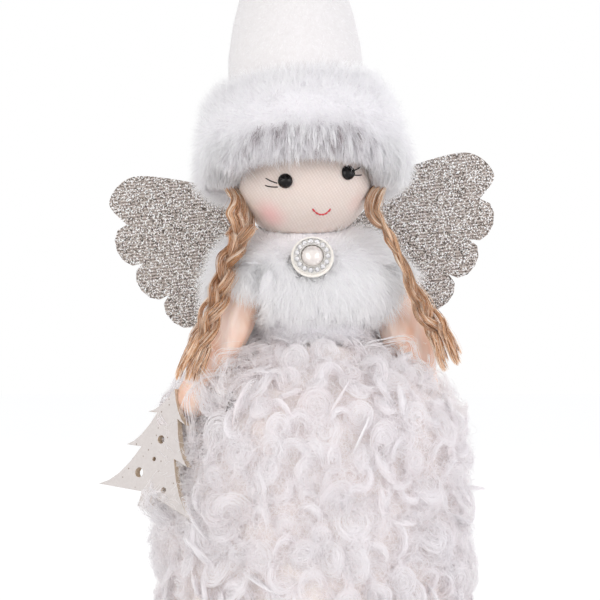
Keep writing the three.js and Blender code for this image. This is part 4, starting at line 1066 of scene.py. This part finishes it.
for plait, (side, twist, girths, shares) in PLAITS.items():
    knots = np.array([(side * out, -ahead, -down) for out, ahead, down in shares]) * PLAIT_DROP
    line, length = smooth_route(knots, STRAND_POINTS)
    line = line + seam(f"{plait}_plait")
    tangent = unit(np.gradient(line, axis=0))
    flat = unit(np.cross([0, 1, 0], tangent))
    share = np.linspace(0, 1, STRAND_POINTS)
    angle = side * twist * (1 - smooth_share(0, TWIST_END, share))[:, None]
    across = flat * np.cos(angle) + np.cross(tangent, flat) * np.sin(angle)
    through = np.cross(tangent, across)
    loose = smooth_share(LOOSE_FROM, 1, share)
    braided = np.clip(share, BRAID_START, BRAID_END) - BRAID_START
    for number in range(3):
        rng = np.random.default_rng(40 + number + (10 if side > 0 else 0))
        turn = 2 * math.pi * (braided * length / PLAIT_PITCH + number / 3)
        girth = np.interp(share, *zip(*girths))
        x = girth * (STRAND_SPREAD + TAIL_SPREAD * loose) * np.sin(turn)
        y = girth * STRAND_LIFT * np.sin(2 * turn)
        centre = line + across * x[:, None] + through * y[:, None]
        fibres = STRAND_FIBRES + STRAY_FIBRES
        stray = np.arange(fibres)[:, None] >= STRAND_FIBRES
        spin = rng.uniform(0, 2 * math.pi, (fibres, 1))
        twine = rng.integers(0, TWINES, (fibres, 1))
        out = np.sqrt(rng.uniform(0.1, 1, (fibres, 1))) * np.where(stray, 1.35, 1.0)
        roll = spin + 7 * share + 0.3 * np.sin(8 * share + 3 * spin)
        tight = girth * (1 - 0.35 * loose)
        apart = loose * (twine - (TWINES - 1) / 2) * TWINE_SPREAD * rng.uniform(0.9, 1.1)
        fan = 1 + 0.1 * rng.normal(size=(fibres, 1)) + np.where(stray, 0.35 * np.sin(5 * share + spin), 0)
        dx = STRAND_WIDTH * 0.54 * out * np.cos(roll) * fan * tight + apart
        dy = STRAND_THICKNESS * 0.54 * out * np.sin(roll) * fan * tight + 0.4 * apart
        paths = centre[None] + across[None] * dx[..., None] + through[None] * dy[..., None]
        cut = np.array([0.965, 1.0])[twine] * rng.uniform(0.975, 1.0, (fibres, 1))
        runs = share * cut * (STRAND_POINTS - 1)
        low = np.floor(runs).astype(int)
        high = np.minimum(low + 1, STRAND_POINTS - 1)
        part = (runs - low)[..., None]
        row = np.arange(fibres)[:, None]
        paths = paths[row, low] * (1 - part) + paths[row, high] * part
        wobble = rng.normal(0, JUTE_WOBBLE, (fibres, STRAND_POINTS // 4 + 1, 3))
        wobble = np.repeat(wobble, 4, axis=1)[:, :STRAND_POINTS]
        paths += wobble * np.linspace(0.3, 1, STRAND_POINTS)[:, None]
        outward = unit(across.mean(axis=0) * np.cos(spin) + through.mean(axis=0) * np.sin(spin)
                       + np.array([0, -0.6, 0]))
        tones = np.clip(rng.normal(0.62, 0.32, (fibres, 1)) + 0.1 * rng.normal(size=paths.shape[:2]), 0, 1)
        widths = np.where(stray[:, 0], 0.45, 1.0) * rng.uniform(0.75, 1.25, fibres) * JUTE_FIBRE
        strands(f"plait_{plait}_jute_{number + 1}", paths, outward, widths, tones, jute, f"{plait}_plait",
                rng)
        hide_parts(f"plait_{plait}_strand_{number + 1}")

# Hat crown. A tall cone of short white fleece, sewn up the back and stuffed so that it stands.
# Its open end is pulled over the head and sewn round it.
CROWN_NAP = 13000
CROWN_PILE = 1.7 * MM
CROWN_ROOT = 0.4 * MM
CROWN_MIDDLE = (-5 * MM, 4 * MM)

# Brushed fleece: knitted polyester with a raised nap, matt and slightly cloudy.
hat_fleece, tree, shader = new_material("brushed white fleece", "#f1eeec", 0.9, sheen_weight=0.4)
mottled(tree, shader, 1.6 * MM, "#dad6d5", "#ebe9e9", 0.4 * MM)
rng = np.random.default_rng(14)
points, triangles, normals = node_surface("hat_crown")
crown = piece("hat_crown_fleece", points, triangles, hat_fleece, "figure", ("hat_crown",))
places, facing = scattered("hat_crown", CROWN_NAP, rng, outer_side(CROWN_MIDDLE, 0, 0.5))
fur("hat_crown_nap", rng, places, facing, np.broadcast_to(below, places.shape), CROWN_PILE,
    CROWN_ROOT, stand=0.5, spread=0.5, clump=0.2, shade=0.7, points=3)

# Hat brim. A roll of long straight faux fur, sewn round the hat's opening and fluffed outwards.
# Its lower edge hangs over the forehead in fine tufts.
BRIM_FIBRES = 62000
BRIM_PILE = 6.8 * MM
FRINGE_PILE = 7.5 * MM
FRINGE_ROOT = 2.2 * MM
BRIM_ROOT = 3.4 * MM
BRIM_SINK = 2.4 * MM
TUFT_REACH = 7 * MM
TUFTS = 130
TUFT_FIBRES = 14
HAT_TILT = math.radians(-8)
HAT_ROLL = math.radians(-6)
BRIM_BOTTOM = -8 * MM
BRIM_TOP = 41 * MM
BRIM_FRONT_LIFT = 12 * MM

hat_centre = np.array(HEAD_CENTRE)
hat_turn = np.array(Matrix.Rotation(HAT_TILT, 3, "X") @ Matrix.Rotation(HAT_ROLL, 3, "Y"))


def in_hat(places):
    """How far up the brim places are, from 0 to 1, how far round to the front, from 0 to 1, and the angle
    round the hat."""
    local = (places - hat_centre) @ hat_turn
    ahead = (1 - local[:, 1] / np.hypot(local[:, 0], local[:, 1])) / 2
    bottom = BRIM_BOTTOM + BRIM_FRONT_LIFT * ahead ** 2
    return (local[:, 2] - bottom) / (BRIM_TOP - bottom), ahead, np.arctan2(local[:, 1], local[:, 0])


def settled(places):
    """The roll sits lower on the crown than its solid, and rides up over one ear."""
    rise, _, angle = in_hat(places)
    up = (1 - rise) * 4 * MM * np.clip(-np.cos(angle), 0, 1) - 2 * MM * rise
    return places + up[:, None] * [0, 0, 1]


rng = np.random.default_rng(15)
places, facing = scattered(
    "hat_brim", BRIM_FIBRES, rng,
    lambda p, n: (np.sum(n[:, :2] * (p - hat_centre)[:, :2], axis=1) > -0.014) | (n[:, 2] > 0.6))
rise, ahead, _ = in_hat(places)
outwards = unit((places - hat_centre) * [1, 1, 0])
comb = (0.5 * outwards - below * (2 * smooth_share(0.1, 0.95, rise) - 1)[:, None]
        + 0.3 * rng.normal(size=places.shape))
arch = 0.02 + 0.42 * smooth_share(0.76, 0.96, ahead)
fringed = (1 - smooth_share(0.4 * arch, arch, rise)) * smooth_share(0.74, 0.86, ahead)
# Over the forehead the roots and tips are painted darker, as painted shade under the roll.
shade = rng.uniform(0.4, 0.7, len(places)) - 0.3 * fringed
fur("brim_fur", rng, settled(places), facing, comb, BRIM_PILE, BRIM_ROOT, stand=0.5,
    spread=0.28, clump=0.2, shade=shade, tip=0.92 - 0.3 * fringed)

# Over the forehead the pile is longer and draws together in narrow tufts, some of them darker as
# painted shade.
front_places, front_facing = settled(places), facing
chosen = fringed > rng.uniform(0.2, 1, len(places))
size = np.count_nonzero(chosen)
comb = below + 0.25 * outwards[chosen] + 0.12 * rng.normal(size=(size, 3))
fur("brim_fringe", rng, front_places[chosen], facing[chosen], comb,
    FRINGE_PILE * rng.uniform(0.75, 1.1, size), FRINGE_ROOT, stand=0.35, spread=0.12, clump=0.95,
    shade=rng.uniform(0.22, 0.5, size), tip=0.78, uneven=0.3, together=12, points=6)

# At both ends of the fringe longer tufts fall over the roots of the hair.
for name, side in (("left", 1), ("right", -1)):
    root = seam(f"{name}_plait")
    off = front_places - root
    near = np.flatnonzero((abs(off[:, 0]) < TUFT_REACH) & (off[:, 2] > -2 * MM) & (off[:, 2] < 15 * MM)
                          & (front_facing[:, 1] < -0.2))
    near = near[rng.integers(0, len(near), TUFTS)]
    begin = front_places[near] - 1.5 * MM * front_facing[near]
    rise = front_places[near] + 3 * MM * front_facing[near]
    ends = root + np.stack([0.8 * (begin - root)[:, 0] + rng.normal(0, MM, TUFTS),
                            rng.uniform(-6.5, -3.5, TUFTS) * MM,
                            rng.uniform(-3.5, 0.0, TUFTS) * MM], axis=1)
    ends[:, 0] += side * 1.5 * MM
    drawn_locks(f"brim_tufts_{name}", begin, rise, ends + np.array([0, -1, 4]) * MM, ends,
                TUFT_FIBRES, 0.4 * MM, 1.1 * FUR_FIBRE, 0.85, white_fur, rng)

# The roll's ground settles on the crown with its fur.
brim_ground = backing("brim_backing", "hat_brim", BRIM_SINK, fur_backing)
sunk = np.empty(3 * len(brim_ground.data.vertices))
brim_ground.data.vertices.foreach_get("co", sunk)
brim_ground.data.vertices.foreach_set("co", settled(sunk.reshape(-1, 3)).ravel())

# Tree. Three-millimetre plywood cut by laser, its faces painted off-white before cutting.
# The cut edges stay brown, scorched by the laser. It is glued to the right hand.
PLY_GRAIN = 1.2 * MM
PIN_MARK = 3.4 * MM
PIN_WIDTH = 0.09
TREE_FACING = (-0.5846, -0.8046, 0.1045)
TRUNK_TOP = 0.061
TRUNK_EDGE = -0.06
TRUNK_WISPS = 30

# Painted plywood: a thin matt coat that the grain shows through, with open pores as dark pin marks.
painted_plywood, tree, shader = new_material("painted plywood", "#ddd6d3", 0.65)
place = add_node(tree, "TexCoord")
lay = add_node(tree, "VectorMath", {0: place.outputs["Normal"], 1: TREE_FACING}, operation="DOT_PRODUCT")
lay = add_node(tree, "Math", {0: lay.outputs["Value"]}, operation="ABSOLUTE")
on_face = add_node(tree, "Math", {0: lay.outputs[0], 1: 0.7}, operation="GREATER_THAN")
grain = add_node(tree, "TexNoise",
                 {"Vector": place.outputs["Object"], "Scale": 1 / PLY_GRAIN, "Detail": 5, "Roughness": 0.7})
pores = add_node(tree, "TexVoronoi", {"Vector": place.outputs["Object"], "Scale": 1 / PIN_MARK})
pore = add_node(tree, "Math", {0: pores.outputs["Distance"], 1: PIN_WIDTH}, operation="LESS_THAN")
paint = add_node(tree, "Mix", {0: grain.outputs[0], 6: linear("#c4bcb8"), 7: linear("#ddd8d5")},
                 data_type="RGBA")
paint = add_node(tree, "Mix", {0: pore.outputs[0], 6: paint.outputs[2], 7: linear("#8d7c70")},
                 data_type="RGBA")
scorch = add_node(tree, "Mix", {0: grain.outputs[0], 6: linear("#b4987a"), 7: linear("#f0e4d2")},
                  data_type="RGBA")
both = add_node(tree, "Mix",
                {0: on_face.outputs[0], 6: scorch.outputs[2], 7: paint.outputs[2]}, data_type="RGBA")
bump = add_node(tree, "Bump", {"Height": grain.outputs[0], "Distance": 0.08 * MM})
tree.links.new(both.outputs[2], shader.inputs["Base Color"])
tree.links.new(bump.outputs[0], shader.inputs["Normal"])
finish_node("tree_panel", painted_plywood)

# The trunk stands among the skirt's outermost locks, which curl round it.
trunk = node_surface("tree_panel")[0]
trunk = trunk[(trunk[:, 2] < TRUNK_TOP) & (trunk[:, 0] < TRUNK_EDGE)]
rng = np.random.default_rng(16)
trunk = trunk[rng.integers(0, len(trunk), (60, 3))].mean(axis=1) + [0.002, 0, 0]
wisps("skirt_wisps_trunk", trunk, TRUNK_WISPS, WISP_CHOICE // 4, rng)
